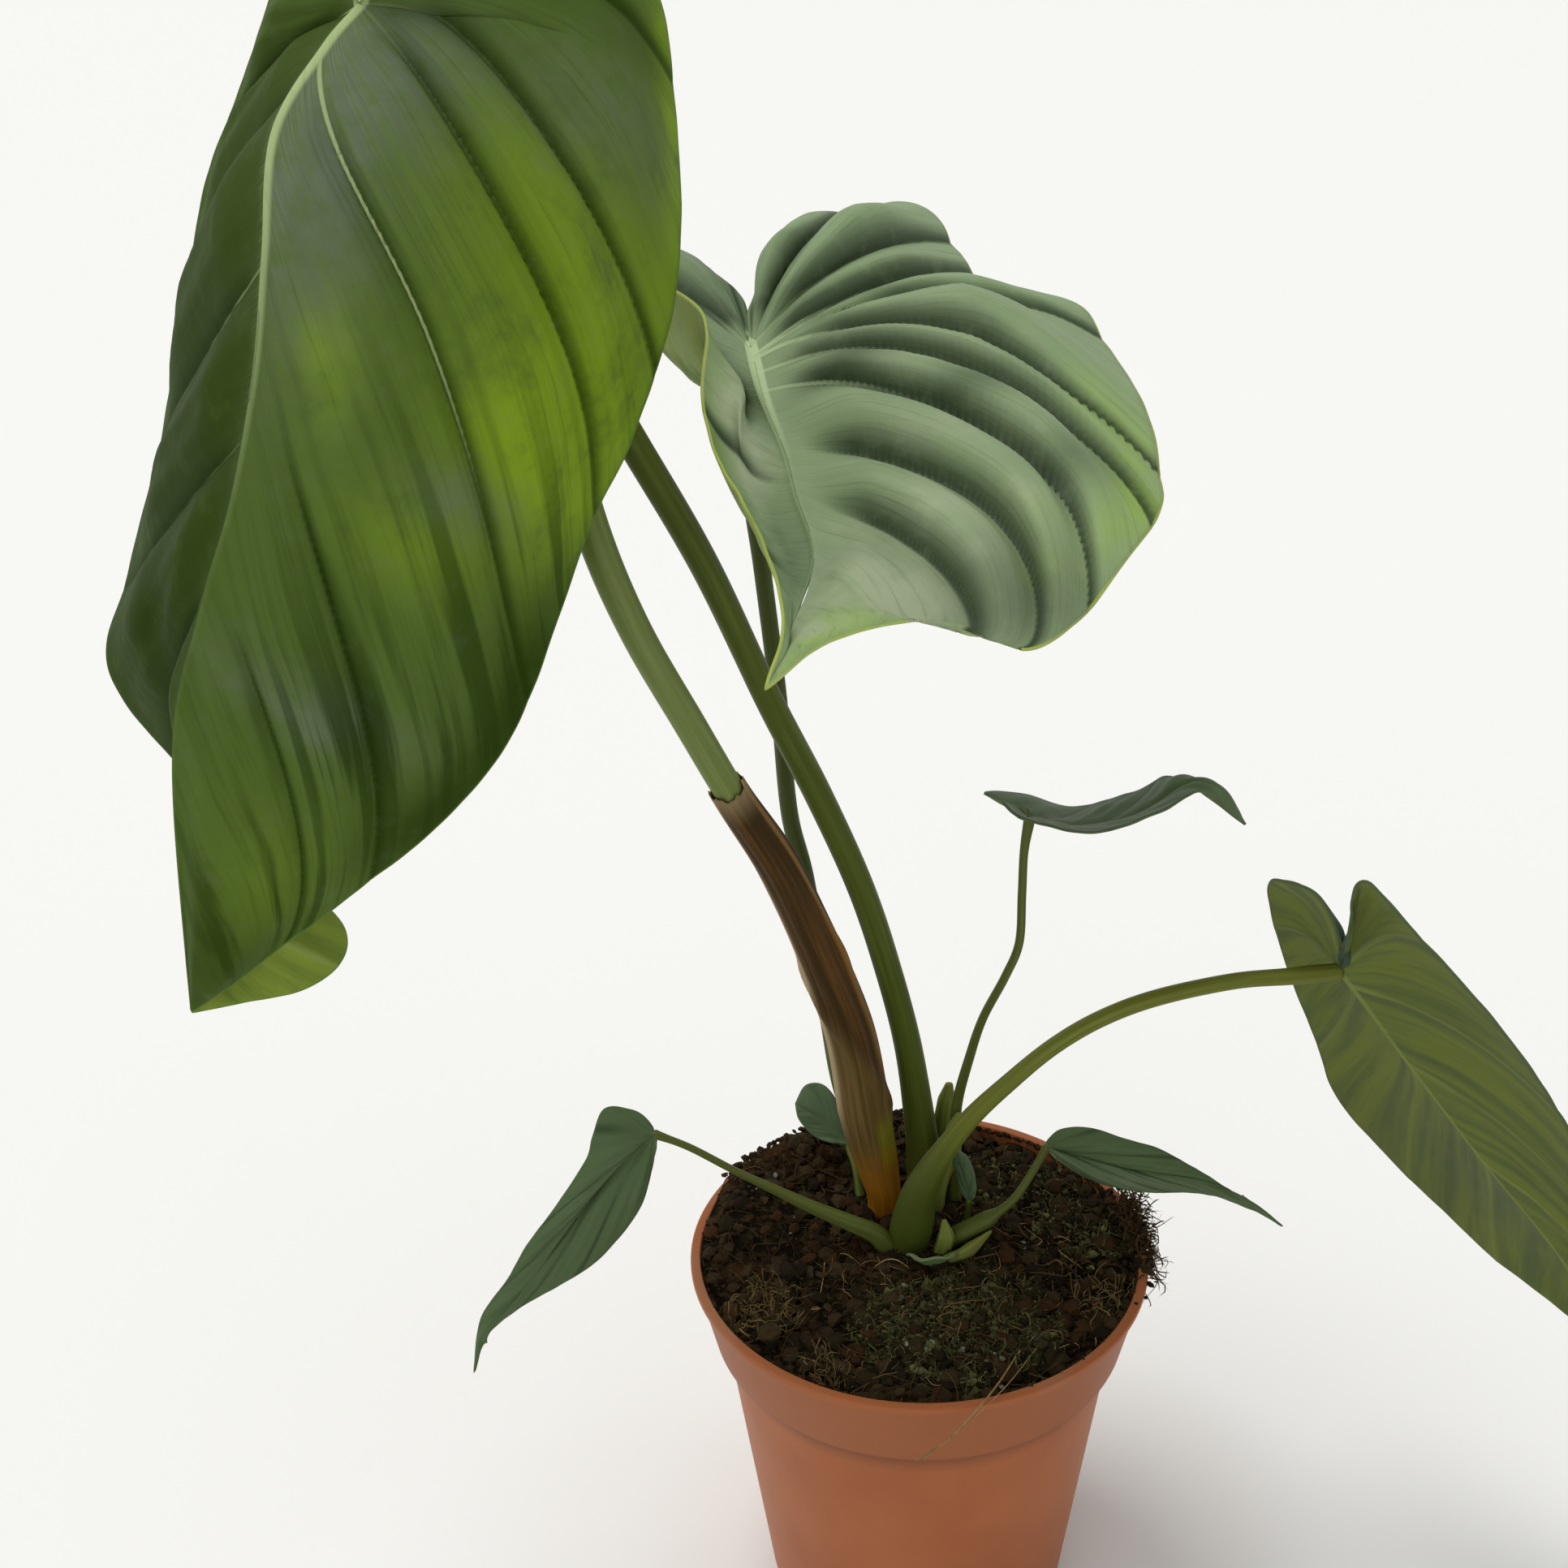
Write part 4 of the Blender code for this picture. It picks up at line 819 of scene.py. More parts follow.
# the patches of yellow-green light shining through a blade, and of sheen, are painted light
blades = {
    "front": {
        "length": 240, "rows": 400, "steps": 60,
        "midrib": [(-5, -9, -6), (-12, -22, -18), (-14, -31, -36), (-18, -32, -55), (-26, -29, -78),
                   (-37, -22, -101), (-52, -7, -137), (-66, 15, -209)],
        "right": [(8, 6, 15), (24, 18, 22), (39, 34, 16), (49, 42, -2), (51, 34, -27), (50, 14, -53),
                  (42, 6, -76), (34, 3, -92), (25, 2, -112), (14, 4, -137), (-1, 6, -156), (-27, 9, -178)],
        "left": [(-5, 10, 11), (-17, 28, 10), (-25, 38, -2), (-36, 50, -17), (-46, 58, -32), (-55, 64, -54),
                 (-68, 66, -90), (-77, 58, -118), (-83, 50, -138), (-74, 54, -163), (-55, 52, -187),
                 (-35, 38, -202), (-42, 26, -210)],
        "rightUp": (0.35, -0.90, 0.25), "leftUp": (-0.95, -0.25, 0.20),
        "rightDome": (0.10, 0.16, 0.16, 0.10, 0.05),
        "leftDome": (0.02, 0.02, 0.0, 0.0, 0.02),
        "rightVeins": [(0.06, 0.14, 1.0, 0.2), (0.17, 0.29, 1.0, 0.1), (0.26, 0.46, 0.9, 0.1),
                       (0.30, 0.545, 0.85, 0.1), (0.358, 0.665, 0.70, 0.8), (0.53, 0.83, 0.7, 0.0),
                       (0.66, 0.91, 0.8, 0.0)],
        "leftVeins": [(0.10, 0.12, 1.0, 0.2), (0.25, 0.25, 1.0, 0.9), (0.38, 0.37, 1.0, 0.2),
                      (0.50, 0.475, 1.0, 0.3), (0.59, 0.57, 1.0, 0.1), (0.68, 0.70, 1.0, 0.1),
                      (0.80, 0.81, 1.0, 0.0), (0.90, 0.90, 1.0, 0.0)],
        "rightPuff": 0.20, "leftPuff": 0.17, "round": 0.66, "skew": 1.15, "marginHold": 0.08, "wave": 0.6,
        "ribWidth": 1.5, "ribFade": 0.68, "ribHigh": 0.3,
        "dents": [("right", 0.545, 0.13, 0.018, 0.06, -2.6), ("right", 0.57, 0.20, 0.02, 0.07, 1.8),
                  ("left", 0.645, 0.45, 0.03, 0.12, -2.0)],
        "lightThrough": [("right", 0.30, 0.98, 0.13, 0.10, 1.0), ("right", 0.45, 0.68, 0.08, 0.30, 0.6),
                   ("right", 0.53, 0.85, 0.06, 0.22, 1.0), ("right", 0.52, 0.60, 0.04, 0.2, 0.7),
                   ("right", 0.60, 0.42, 0.03, 0.20, 0.45), ("right", 0.40, 0.45, 0.07, 0.25, 0.3),
                   ("right", 0.53, 0.13, 0.03, 0.07, 0.9), ("right", 0.86, 0.55, 0.06, 0.3, 0.3),
                   ("left", 0.9, 0.5, 0.12, 0.5, 0.6), ("left", 0.6, 0.75, 0.2, 0.2, 0.25)],
        "paintedSheen": [("right", 0.36, 0.10, 0.08, 0.20, 0.9), ("right", 0.45, 0.05, 0.10, 0.14, 0.9),
                  ("right", 0.57, 0.52, 0.015, 0.14, 0.7), ("right", 0.72, 0.37, 0.022, 0.3, 0.8),
                  ("right", 0.345, 0.62, 0.04, 0.3, 0.55)],
        "streaky": [("right", 0.60, 0.75, 0.07, 0.45, 0.9), ("right", 0.72, 0.6, 0.06, 0.45, 1.0),
                    ("right", 0.88, 0.6, 0.09, 0.6, 1.0), ("left", 0.7, 0.6, 0.15, 0.4, 0.4)],
        "shade": [("left", 0.30, 0.5, 0.25, 0.9, 0.45), ("left", 0.65, 0.5, 0.28, 1.2, 0.85),
                  ("right", 0.69, 0.97, 0.08, 0.16, 0.7), ("right", 0.28, 0.90, 0.02, 0.3, 0.3),
                  ("right", 0.94, 0.4, 0.06, 0.6, 0.6), ("right", 0.78, 0.92, 0.05, 0.2, 0.6),
                  ("right", 0.63, 0.93, 0.05, 0.2, 0.35)],
        "veinFade": (0.25, 0.62), "finish": "front",
    },
    "middle": {
        "length": 120, "rows": 400, "steps": 60,
        "midrib": [(3, -18, -8), (7, -34, -15), (9, -48, -20), (12, -66, -26), (9, -84, -30), (2, -112, -36)],
        "right": [(1, 20, 6), (5, 42, 13), (12, 57, 18), (26, 68, 19), (40, 77, 18), (48, 73, 14), (55, 54, 5),
                  (66, 42, 2), (79, 28, -1), (85, -6, -13), (85, -39, -24), (76, -61, -29), (54, -92, -37),
                  (34, -87, -33), (15, -97, -33)],
        "left": [(-2, 22, 7), (-9, 40, 10), (-17, 54, 13), (-31, 58, 16), (-41, 46, 13), (-37, 26, 10),
                 (-23, 14, 13), (-13, 4, 10), (-10, -6, 5), (-11, -20, -4), (-8, -40, -13), (-3, -56, -17),
                 (2, -74, -21), (5, -96, -28)],
        "bothUp": (0.12, -0.31, 0.95), "rightDome": (0.02, 0.06, 0.08, 0.05, 0.0),
        "leftDome": (0.0, 0.05, -0.15, -0.30, -0.1),
        "rightVeins": [(0.08, 0.10, 1.0, 0.2), (0.17, 0.21, 1.0, 0.2), (0.262, 0.312, 0.9, 0.5),
                       (0.335, 0.352, 1.0, 0.9), (0.338, 0.48, 1.9, 0.6), (0.345, 0.635, 1.4, 0.8),
                       (0.385, 0.69, 1.28, 0.5), (0.43, 0.785, 1.1, 0.4), (0.56, 0.84, 1.05, 0.0),
                       (0.645, 0.875, 0.7, 0.0)],
        "leftVeins": [(0.12, 0.12, 1.0, 0.1), (0.28, 0.30, 1.0, 0.3), (0.42, 0.48, 1.0, 0.1),
                      (0.62, 0.66, 1.0, 0.0), (0.80, 0.82, 1.0, 0.0)],
        "rightCalm": (0.78, 0.88), "rightPuff": 0.33, "leftPuff": 0.05, "skew": 1.45, "marginHold": 0.22,
        "wave": 0.4, "notchHold": 0.85,
        "ribWidth": 2.9, "ribFade": 0.62, "ribHigh": 0.4,
        "dents": [("left", 0.60, 0.55, 0.07, 0.28, 4.5), ("left", 0.46, 0.5, 0.05, 0.35, -3.0),
                  ("right", 0.84, 0.4, 0.03, 0.5, -1.5)],
        "shade": [("left", 0.45, 0.20, 0.07, 0.30, 0.95), ("left", 0.12, 0.6, 0.16, 0.8, 0.7),
                  ("right", 0.10, 0.5, 0.08, 0.5, 0.3), ("left", 0.78, 0.2, 0.12, 0.2, 0.4),
                  ("right", 0.80, 0.80, 0.05, 0.3, 0.6), ("right", 0.475, 0.20, 0.03, 0.14, 0.7),
                  ("right", 0.56, 0.48, 0.03, 0.18, 0.6), ("right", 0.65, 0.72, 0.03, 0.12, 0.5)],
        "lightThrough": [("right", 0.66, 0.93, 0.07, 0.10, 1.0), ("right", 0.57, 0.83, 0.04, 0.08, 0.4),
                   ("right", 0.77, 0.76, 0.02, 0.10, 0.6), ("right", 0.93, 0.5, 0.06, 0.5, 1.0),
                   ("left", 0.75, 0.9, 0.2, 0.2, 0.8), ("right", 0.72, 0.70, 0.02, 0.2, 0.3)],
        "paintedSheen": [("right", 0.48, 0.40, 0.10, 0.25, 0.25), ("right", 0.82, 0.4, 0.07, 0.5, 1.0),
                  ("left", 0.60, 0.50, 0.07, 0.38, 1.0), ("left", 0.62, 0.50, 0.07, 0.3, 0.8),
                  ("right", 0.62, 0.40, 0.04, 0.3, 0.45), ("right", 0.90, 0.30, 0.06, 0.4, 1.0),
                  ("right", 0.72, 0.40, 0.03, 0.35, 0.7)],
        "finish": "middle",
    },
    "right": {
        "length": 133, "rows": 200, "steps": 44,
        "midrib": [(9, -2, -12), (18, -5, -24), (38, -10, -50), (59, -16, -76), (77, -17, -106)],
        "right": [(-2, -9, 13), (-6, -20, 31), (-6, -26, 38), (-2, -30, 35), (12, -37, 21), (26, -44, 5),
                  (40, -44, -16), (55, -37, -48)],
        "left": [(-3, -5, 11), (-10, -7, 25), (-16, 0, 25), (-17, 10, 17), (-7, 22, -11), (5, 28, -38),
                 (14, 33, -60), (30, 28, -78), (51, 10, -94)],
        "bothUp": (0.74, 0.49, 0.46),
        "rightVeins": [(0.12, 0.14, 1.0, 0.3), (0.24, 0.29, 1.0, 0.3), (0.34, 0.52, 0.8, 0.6),
                       (0.50, 0.72, 0.8, 0.5), (0.68, 0.85, 0.8, 0.4)],
        "leftVeins": [(0.12, 0.14, 1.0, 0.3), (0.24, 0.29, 1.0, 0.3), (0.34, 0.50, 0.8, 0.5),
                      (0.50, 0.72, 0.8, 0.4), (0.68, 0.85, 0.8, 0.3)],
        "bothPuff": 0.075, "marginHold": 0.25, "wave": 0.5,
        "ribWidth": 1.2, "ribFade": 0.9, "ribHigh": -0.5,
        "lightThrough": [("left", 0.6, 0.7, 0.2, 0.3, 0.4)], "paintedSheen": [("left", 0.75, 0.4, 0.12, 0.5, 0.6)],
        "finish": "right",
    },
    "upright": {
        "length": 62, "rows": 120, "steps": 26,
        "midrib": [(4, -2, 0), (11, -6, 0), (20, -10, 3), (29, -14, 9), (37, -16, 16), (43, -16, 15),
                   (50, -16, 5)],
        "right": [(-2, -4, 3), (-8, -6, 8), (-4, -16, 8), (7, -28, 10), (16, -32, 13), (27, -31, 17),
                  (37, -24, 18)],
        "left": [(-1, 6, 1), (-9, 22, -3), (2, 24, -5), (14, 20, -7), (28, 8, 3), (35, -3, 12)],
        "bothUp": (-0.2, 0.1, 1.0), "bothDome": (0.0, 0.0, 0.0, 0.0, 0.0),
        "bothVeins": [(0.2, 0.24, 1.0, 0.2), (0.36, 0.52, 0.8, 0.3), (0.55, 0.74, 0.8, 0.2)],
        "bothPuff": 0.05, "wave": 0.3,
        "ribWidth": 0.8, "ribFade": 0.7, "ribHigh": 0.2, "finish": "small",
    },
    "left": {
        "length": 76, "rows": 130, "steps": 28,
        "midrib": [(-12, -6, -9), (-22, -12, -20), (-32, -18, -31), (-42, -24, -40), (-46, -29, -50)],
        "right": [(1, 0, 0), (-2, -5, -12), (-4, -7, -17), (-9, -10, -23), (-17, -15, -29), (-26, -18, -33),
                  (-35, -21, -37), (-43, -25, -42)],
        "left": [(-2, 1, 4), (-6, 1, 7), (-12, 0, 8), (-15, -3, 2), (-17, -5, -4), (-24, -10, -13),
                 (-32, -15, -22), (-37, -19, -29), (-44, -23, -38)],
        "bothUp": (0.20, -0.92, 0.34),
        "bothPuff": 0.05, "wave": 0.3,
        "ribWidth": 0.7, "ribFade": 0.35, "ribHigh": 0.2,
        "paintedSheen": [("left", 0.5, 0.3, 0.2, 0.4, 0.3)], "finish": "small",
    },
    "small_right": {
        "length": 64, "rows": 130, "steps": 26,
        "midrib": [(10, -4, -1), (22, -9, -2), (34, -13, -2), (46, -18, -3), (57, -24, -9)],
        "right": [(1, -1, -1), (8, -5, -5), (16, -9, -6), (26, -12, -6), (38, -16, -4), (50, -21, -6)],
        "left": [(1, 1, 2), (5, 1, 5), (12, -1, 6), (20, -5, 5), (28, -8, 4), (36, -12, 1), (44, -17, -2)],
        "bothUp": (-0.30, -0.85, 0.43), "bothDome": (0.0, 0.1, 0.1, 0.05, 0.0),
        "bothPuff": 0.05, "wave": 0.3,
        "ribWidth": 0.7, "ribFade": 0.5, "ribHigh": 0.2,
        "paintedSheen": [("right", 0.5, 0.6, 0.4, 0.6, 0.7)], "finish": "small",
    },
    "back": {
        "length": 19, "rows": 60, "steps": 18,
        "midrib": [(-6, 2, 6), (-14, 4, 11)],
        "right": [(-2, 6, 8), (-6, 9, 13), (-11, 8, 14)],
        "left": [(-4, -2, 2), (-9, 0, 3), (-13, 2, 7)],
        "bothUp": (0.3, -0.8, 0.5), "bothDome": (0.0, 0.05, 0.05),
        "bothVeins": [(0.36, 0.5, 0.8, 0.2), (0.6, 0.75, 0.8, 0.2)],
        "bothPuff": 0.04, "wave": 0.2,
        "ribWidth": 0.5, "ribFade": 0.5, "ribHigh": 0.1, "finish": "teal",
    },
    "tiny": {
        "length": 18, "rows": 60, "steps": 14,
        "midrib": [(-1, 0, 7), (-4, 0, 17)],
        "right": [(1.6, -1.5, 3), (1.4, -1.5, 8), (-0.5, -1, 14)],
        "left": [(-1.5, 2, 1), (-2.5, 2.5, 5), (-4, 2, 11)],
        "rightUp": (0.3, -0.9, 0.2), "leftUp": (-0.6, -0.8, 0.2), "bothDome": (0.0, 0.05, 0.05),
        "bothVeins": [(0.4, 0.6, 0.8, 0.2)],
        "bothPuff": 0.04, "wave": 0.1,
        "ribWidth": 0.4, "ribFade": 0.5, "ribHigh": 0.1, "finish": "teal",
    },
}

bladeShape = {
    "fan": 0.30,  # share of the margin, from the notch, whose veins all start at the junction
    "thick": 0.62,  # mm
    "widest": 26,  # mm between two veins, past which the blade between them rises no higher
}

# deep is the dark green of streaks and threads, and also of the painted shade in the valleys by the veins; valley
# gives that shade's width before a vein in mm, and valleyDepth its strength
leafLooks = {
    # the yellow-green where light shines through a blade is painted light
    "front": {
        "deep": (0.016, 0.036, 0.002), "lamina": (0.076, 0.126, 0.024), "lightThrough": (0.185, 0.295, 0.016),
        "grey": (0.125, 0.160, 0.100), "vein": (0.380, 0.480, 0.220), "edge": (0.130, 0.210, 0.045),
        "shade": (0.018, 0.036, 0.002), "under": (0.200, 0.270, 0.040), "underVein": (0.300, 0.370, 0.140),
        "streak": 0.9, "rough": 0.46, "valley": 4.5, "gloss": 0.01,
    },
    "middle": {
        "deep": (0.014, 0.030, 0.010), "lamina": (0.232, 0.318, 0.168), "lightThrough": (0.270, 0.410, 0.080),
        "grey": (0.360, 0.420, 0.265), "vein": (0.480, 0.600, 0.340), "edge": (0.420, 0.500, 0.090),
        "shade": (0.040, 0.068, 0.030), "under": (0.250, 0.300, 0.090), "underVein": (0.380, 0.430, 0.180),
        "streak": 0.5, "rough": 0.46, "lineWidth": 0.4, "valley": 6.5, "valleyDepth": 0.88, "gloss": 0.12,
    },
    "right": {
        "deep": (0.026, 0.046, 0.030), "lamina": (0.040, 0.065, 0.042), "lightThrough": (0.080, 0.120, 0.040),
        "grey": (0.080, 0.100, 0.070), "vein": (0.180, 0.230, 0.110), "edge": (0.090, 0.120, 0.045),
        "shade": (0.030, 0.045, 0.020), "under": (0.135, 0.168, 0.032), "underVein": (0.190, 0.225, 0.060),
        "streak": 0.5, "rough": 0.5, "specks": 0.8, "valley": 3.0,
    },
    "small": {
        "deep": (0.028, 0.048, 0.020), "lamina": (0.076, 0.118, 0.048), "lightThrough": (0.090, 0.130, 0.045),
        "grey": (0.130, 0.160, 0.100), "vein": (0.150, 0.190, 0.090), "edge": (0.080, 0.115, 0.050),
        "shade": (0.030, 0.045, 0.020), "under": (0.150, 0.180, 0.080), "underVein": (0.190, 0.230, 0.100),
        "streak": 0.4, "rough": 0.48, "valley": 2.5,
    },
    "teal": {
        "deep": (0.036, 0.066, 0.036), "lamina": (0.090, 0.138, 0.068), "lightThrough": (0.100, 0.140, 0.065),
        "grey": (0.110, 0.145, 0.095), "vein": (0.150, 0.200, 0.120), "edge": (0.110, 0.150, 0.085),
        "shade": (0.030, 0.045, 0.020), "under": (0.130, 0.175, 0.095), "underVein": (0.160, 0.200, 0.115),
        "streak": 0.4, "rough": 0.48, "valley": 2.0,
    },
}


def ofHalf(leaf, side, what):
    # what a blade's entry says of this half, or else of both
    return leaf[side + what] if side + what in leaf else leaf["both" + what]


def patchSum(patches, side, share, out):
    # a sum of soft round patches over one half, each falling off as a bell curve
    total = np.zeros(np.broadcast(share, out).shape)
    for where, s, t, wide, long, strength in patches:
        if where == side:
            total = total + strength * np.exp(-((share - s) / wide) ** 2 - ((out - t) / long) ** 2)
    return total


def bladeHalf(leaf, side):
    # one half of a blade as a grid of veins by steps outwards. A vein is the chord from the midrib to the margin,
    # lifted by 4t(1 - t) times the dome. The first veins all start at the junction and fan into the lobe.
    rows = leaf["rows"]
    rib = smoothPath([(0, 0, 0)] + leaf["midrib"], 160)
    scale = leaf["length"] / lengthAlong(rib)[-1]
    margin = smoothPath([(0, 0, 0)] + leaf[side] + [leaf["midrib"][-1]], rows) * scale
    share = np.linspace(0, 1, rows + 1)
    start = np.clip((share - bladeShape["fan"]) / (1 - bladeShape["fan"]), 0, 1) ** 1.2
    root = eachOf(start, np.linspace(0, 1, len(rib)), rib * scale)
    dome = ofHalf(leaf, side, "Dome")
    rise = np.interp(share, np.linspace(0, 1, len(dome)), dome)
    chord = margin - root
    length = np.linalg.norm(chord, axis=1, keepdims=True)
    way = chord / np.maximum(length, 1e-9)
    up = np.array(ofHalf(leaf, side, "Up"), float)
    square = up - (way @ up)[:, None] * way
    square /= np.linalg.norm(square, axis=1, keepdims=True)
    t = np.linspace(0, 1, leaf["steps"] + 1) ** 1.25
    lifted = (4 * t * (1 - t))[None, :, None] * (rise[:, None] * length * square)[:, None]
    points = root[:, None] + t[None, :, None] * chord[:, None] + lifted
    return points, share[:, None], t[None, :], length


def gridNormals(points, turn):
    # across the grid by the cross product of its two directions, evened out where rows meet at the junction
    down, out = np.gradient(points, axis=0), np.gradient(points, axis=1)
    normal = np.cross(down, out) * turn
    size = np.linalg.norm(normal, axis=2, keepdims=True)
    normal = normal / np.maximum(size, 1e-9)
    whole = normal[:, 3:8].mean((0, 1))
    weight = smoothStep(size, 0, 0.02 * np.median(size))
    normal = normal * weight + whole / np.linalg.norm(whole) * (1 - weight)
    return normal / np.maximum(np.linalg.norm(normal, axis=2, keepdims=True), 1e-9)


def veinPhase(veins, share, out):
    # which vein a place lies past, as a number that grows evenly from each vein to the next, and the gap between
    # those two veins as a share of the margin. A vein runs at root + (margin - root) * out ** bend
    lines = [np.zeros_like(share * out) - 0.02]
    lines += [root + (end - root) * out**bend + 0 * share for root, end, bend, _ in veins]
    lines += [np.ones_like(share * out) * 1.001]
    phase, gap = np.zeros_like(lines[0]), np.zeros_like(lines[0])
    for low, high in zip(lines, lines[1:]):
        phase = phase + np.clip((share - low) / np.maximum(high - low, 1e-4), 0, 1)
        gap = np.where((share >= low) & (share < high), high - low, gap)
    return phase, gap


def veinReach(veins, share, out, along, length):
    # mm to the nearest vein, square to it, and that vein's paleness. The sign swaps from one vein to the next, so
    # that the distance passes smoothly from one to the other halfway between them
    signed = []
    for number, (root, end, bend, _) in enumerate(veins):
        slope = (end - root) * bend * np.maximum(out, 0.02) ** (bend - 1) * along / np.maximum(length, 1)
        gone = (share - root - (end - root) * out**bend) * along / np.sqrt(1 + slope**2)
        signed.append(gone * (-1) ** number)
    nearest = np.abs(signed).argmin(0)
    paleness = np.array([vein[3] for vein in veins])[nearest]
    return np.take_along_axis(np.array(signed), nearest[None], 0)[0], paleness


def bladeRelief(name, leaf, side, points, share, out, length, phase, width, ribHalf):
    # mm by which each place of a half stands off its smooth sheet: the blade rises between its veins, ripples finely
    # and waves, and its midrib stands up or, on a blade seen from beneath, sinks
    f = phase % 1
    across = np.minimum(width, bladeShape["widest"])
    edge = leaf["marginHold"] + (1 - leaf["marginHold"]) * (1 - smoothStep(out, 0.55, 1.0))
    crest = np.sin(math.pi * np.clip(f, 0, 1) ** leaf["skew"]) ** leaf["round"]
    rise = ofHalf(leaf, side, "Puff") * across * crest * smoothStep(out, 0.0, 0.22) * edge
    rise = rise * (1 - leaf["notchHold"] * (1 - smoothStep(share, 0.04, 0.24)))
    rise = rise * (1 - 0.85 * smoothStep(share, *ofHalf(leaf, side, "Calm")))
    fine = 0.012 * across * np.sin(6 * math.pi * f) * np.sin(math.pi * f) * smoothStep(out, 0.1, 0.4) * edge
    wave = leaf["wave"] * ripple(points, 26, 31 + len(name)) * smoothStep(out, 0.35, 1.0)
    wave = wave + 0.10 * ripple(points, 5, 37) * smoothStep(out * length, 0, 6)
    dent = patchSum(leaf["dents"], side, share, out)
    rib = leaf["ribHigh"] * np.exp(-((out * length / ribHalf) ** 2)) * (1 - 0.6 * share)
    return ((rise + fine + wave + dent) * smoothStep(share, 0.0, 0.03) + rib) * (1 - smoothStep(share, 0.96, 1.0))


def bladeMaps(leaf, side, share, out, length, phase, width, along, ribHalf):
    # what the finishes read, a pair for each point. Sizes are in dm, or 300 mm for a vein's length
    reach, pale = veinReach(ofHalf(leaf, side, "Veins"), share, out, along, length)
    veinPale = pale * (1 - smoothStep(out, *leaf["veinFade"]))
    ribPale = 1 - smoothStep(share, leaf["ribFade"] * 0.55, leaf["ribFade"])
    # patches of painted light shining through the blade and of painted sheen, then of streaks and of shade
    lightThrough, paintedSheen, streaky, shade = (
        np.clip(patchSum(leaf[what], side, share, out), 0, 1) for what in ("lightThrough", "paintedSheen", "streaky", "shade"))
    return {
        # the painted sheen shares its map with the midrib's paleness
        "veins": pairs(phase, out), "sizes": pairs(width / 100, length / 300), "tone": pairs(veinPale, lightThrough),
        "paintedSheen": pairs(paintedSheen, ribPale), "extra": pairs(ribHalf / 10, streaky), "depth": pairs(shade, reach / 10),
    }


def makeBlade(name, leaf, finishes):
    halves = {}
    for side, turn in (("right", 1), ("left", -1)):
        half = bladeHalf(leaf, side)
        halves[side] = (turn, gridNormals(half[0], turn), half)
    # both halves share their normals along the midrib, and one normal where the lobes fan out
    facing = np.sign((halves["right"][1].reshape(-1, 3) @ np.array(ofHalf(leaf, "right", "Up"))).mean())
    middle = halves["right"][1][:, 0] + halves["left"][1][:, 0]
    fanRows = int(bladeShape["fan"] * leaf["rows"]) + 1
    middle[:fanRows] = middle[:fanRows].mean(0)
    middle *= facing / np.linalg.norm(middle, axis=1, keepdims=True)
    allPoints, faces, maps, offset = [], [], [], 0
    for side, (turn, normal, (points, share, out, length)) in halves.items():
        normal = normal * facing
        normal[:, 0] = middle
        phase, gap = veinPhase(ofHalf(leaf, side, "Veins"), share, out)
        along = np.linalg.norm(np.gradient(points, axis=0), axis=2) * leaf["rows"]
        width = gap * along
        ribHalf = leaf["ribWidth"] * (0.45 + 0.75 * np.exp(-((share / 0.42) ** 2)) - 0.35 * share)
        relief = bladeRelief(name, leaf, side, points, share, out, length, phase, width, ribHalf)
        maps.append(bladeMaps(leaf, side, share, out, length, phase, width, along, ribHalf))
        allPoints.append((points + normal * relief[:, :, None]).reshape(-1, 3))
        quads = gridFaces(*points.shape[:2]) + offset
        faces.append(quads if turn * facing < 0 else quads[:, ::-1])
        offset += len(allPoints[-1])
    whole = crownPoint(petioles[name]["tip"]) + np.vstack(allPoints) * mm
    maps = {key: np.vstack([half[key] for half in maps]) for key in maps[0]}
    blade = addPiece(name + "Blade", whole, np.vstack(faces), finishes, maps, merge=4e-6)
    thicken(blade, bladeShape["thick"])
    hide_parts(name + "_leaf")


def thicken(sheet, thick):
    # a wall of this many mm, with the second finish on its far face
    wall = sheet.modifiers.new("thickness", "SOLIDIFY")
    wall.thickness, wall.offset = thick * mm, 0
    wall.material_offset = 1


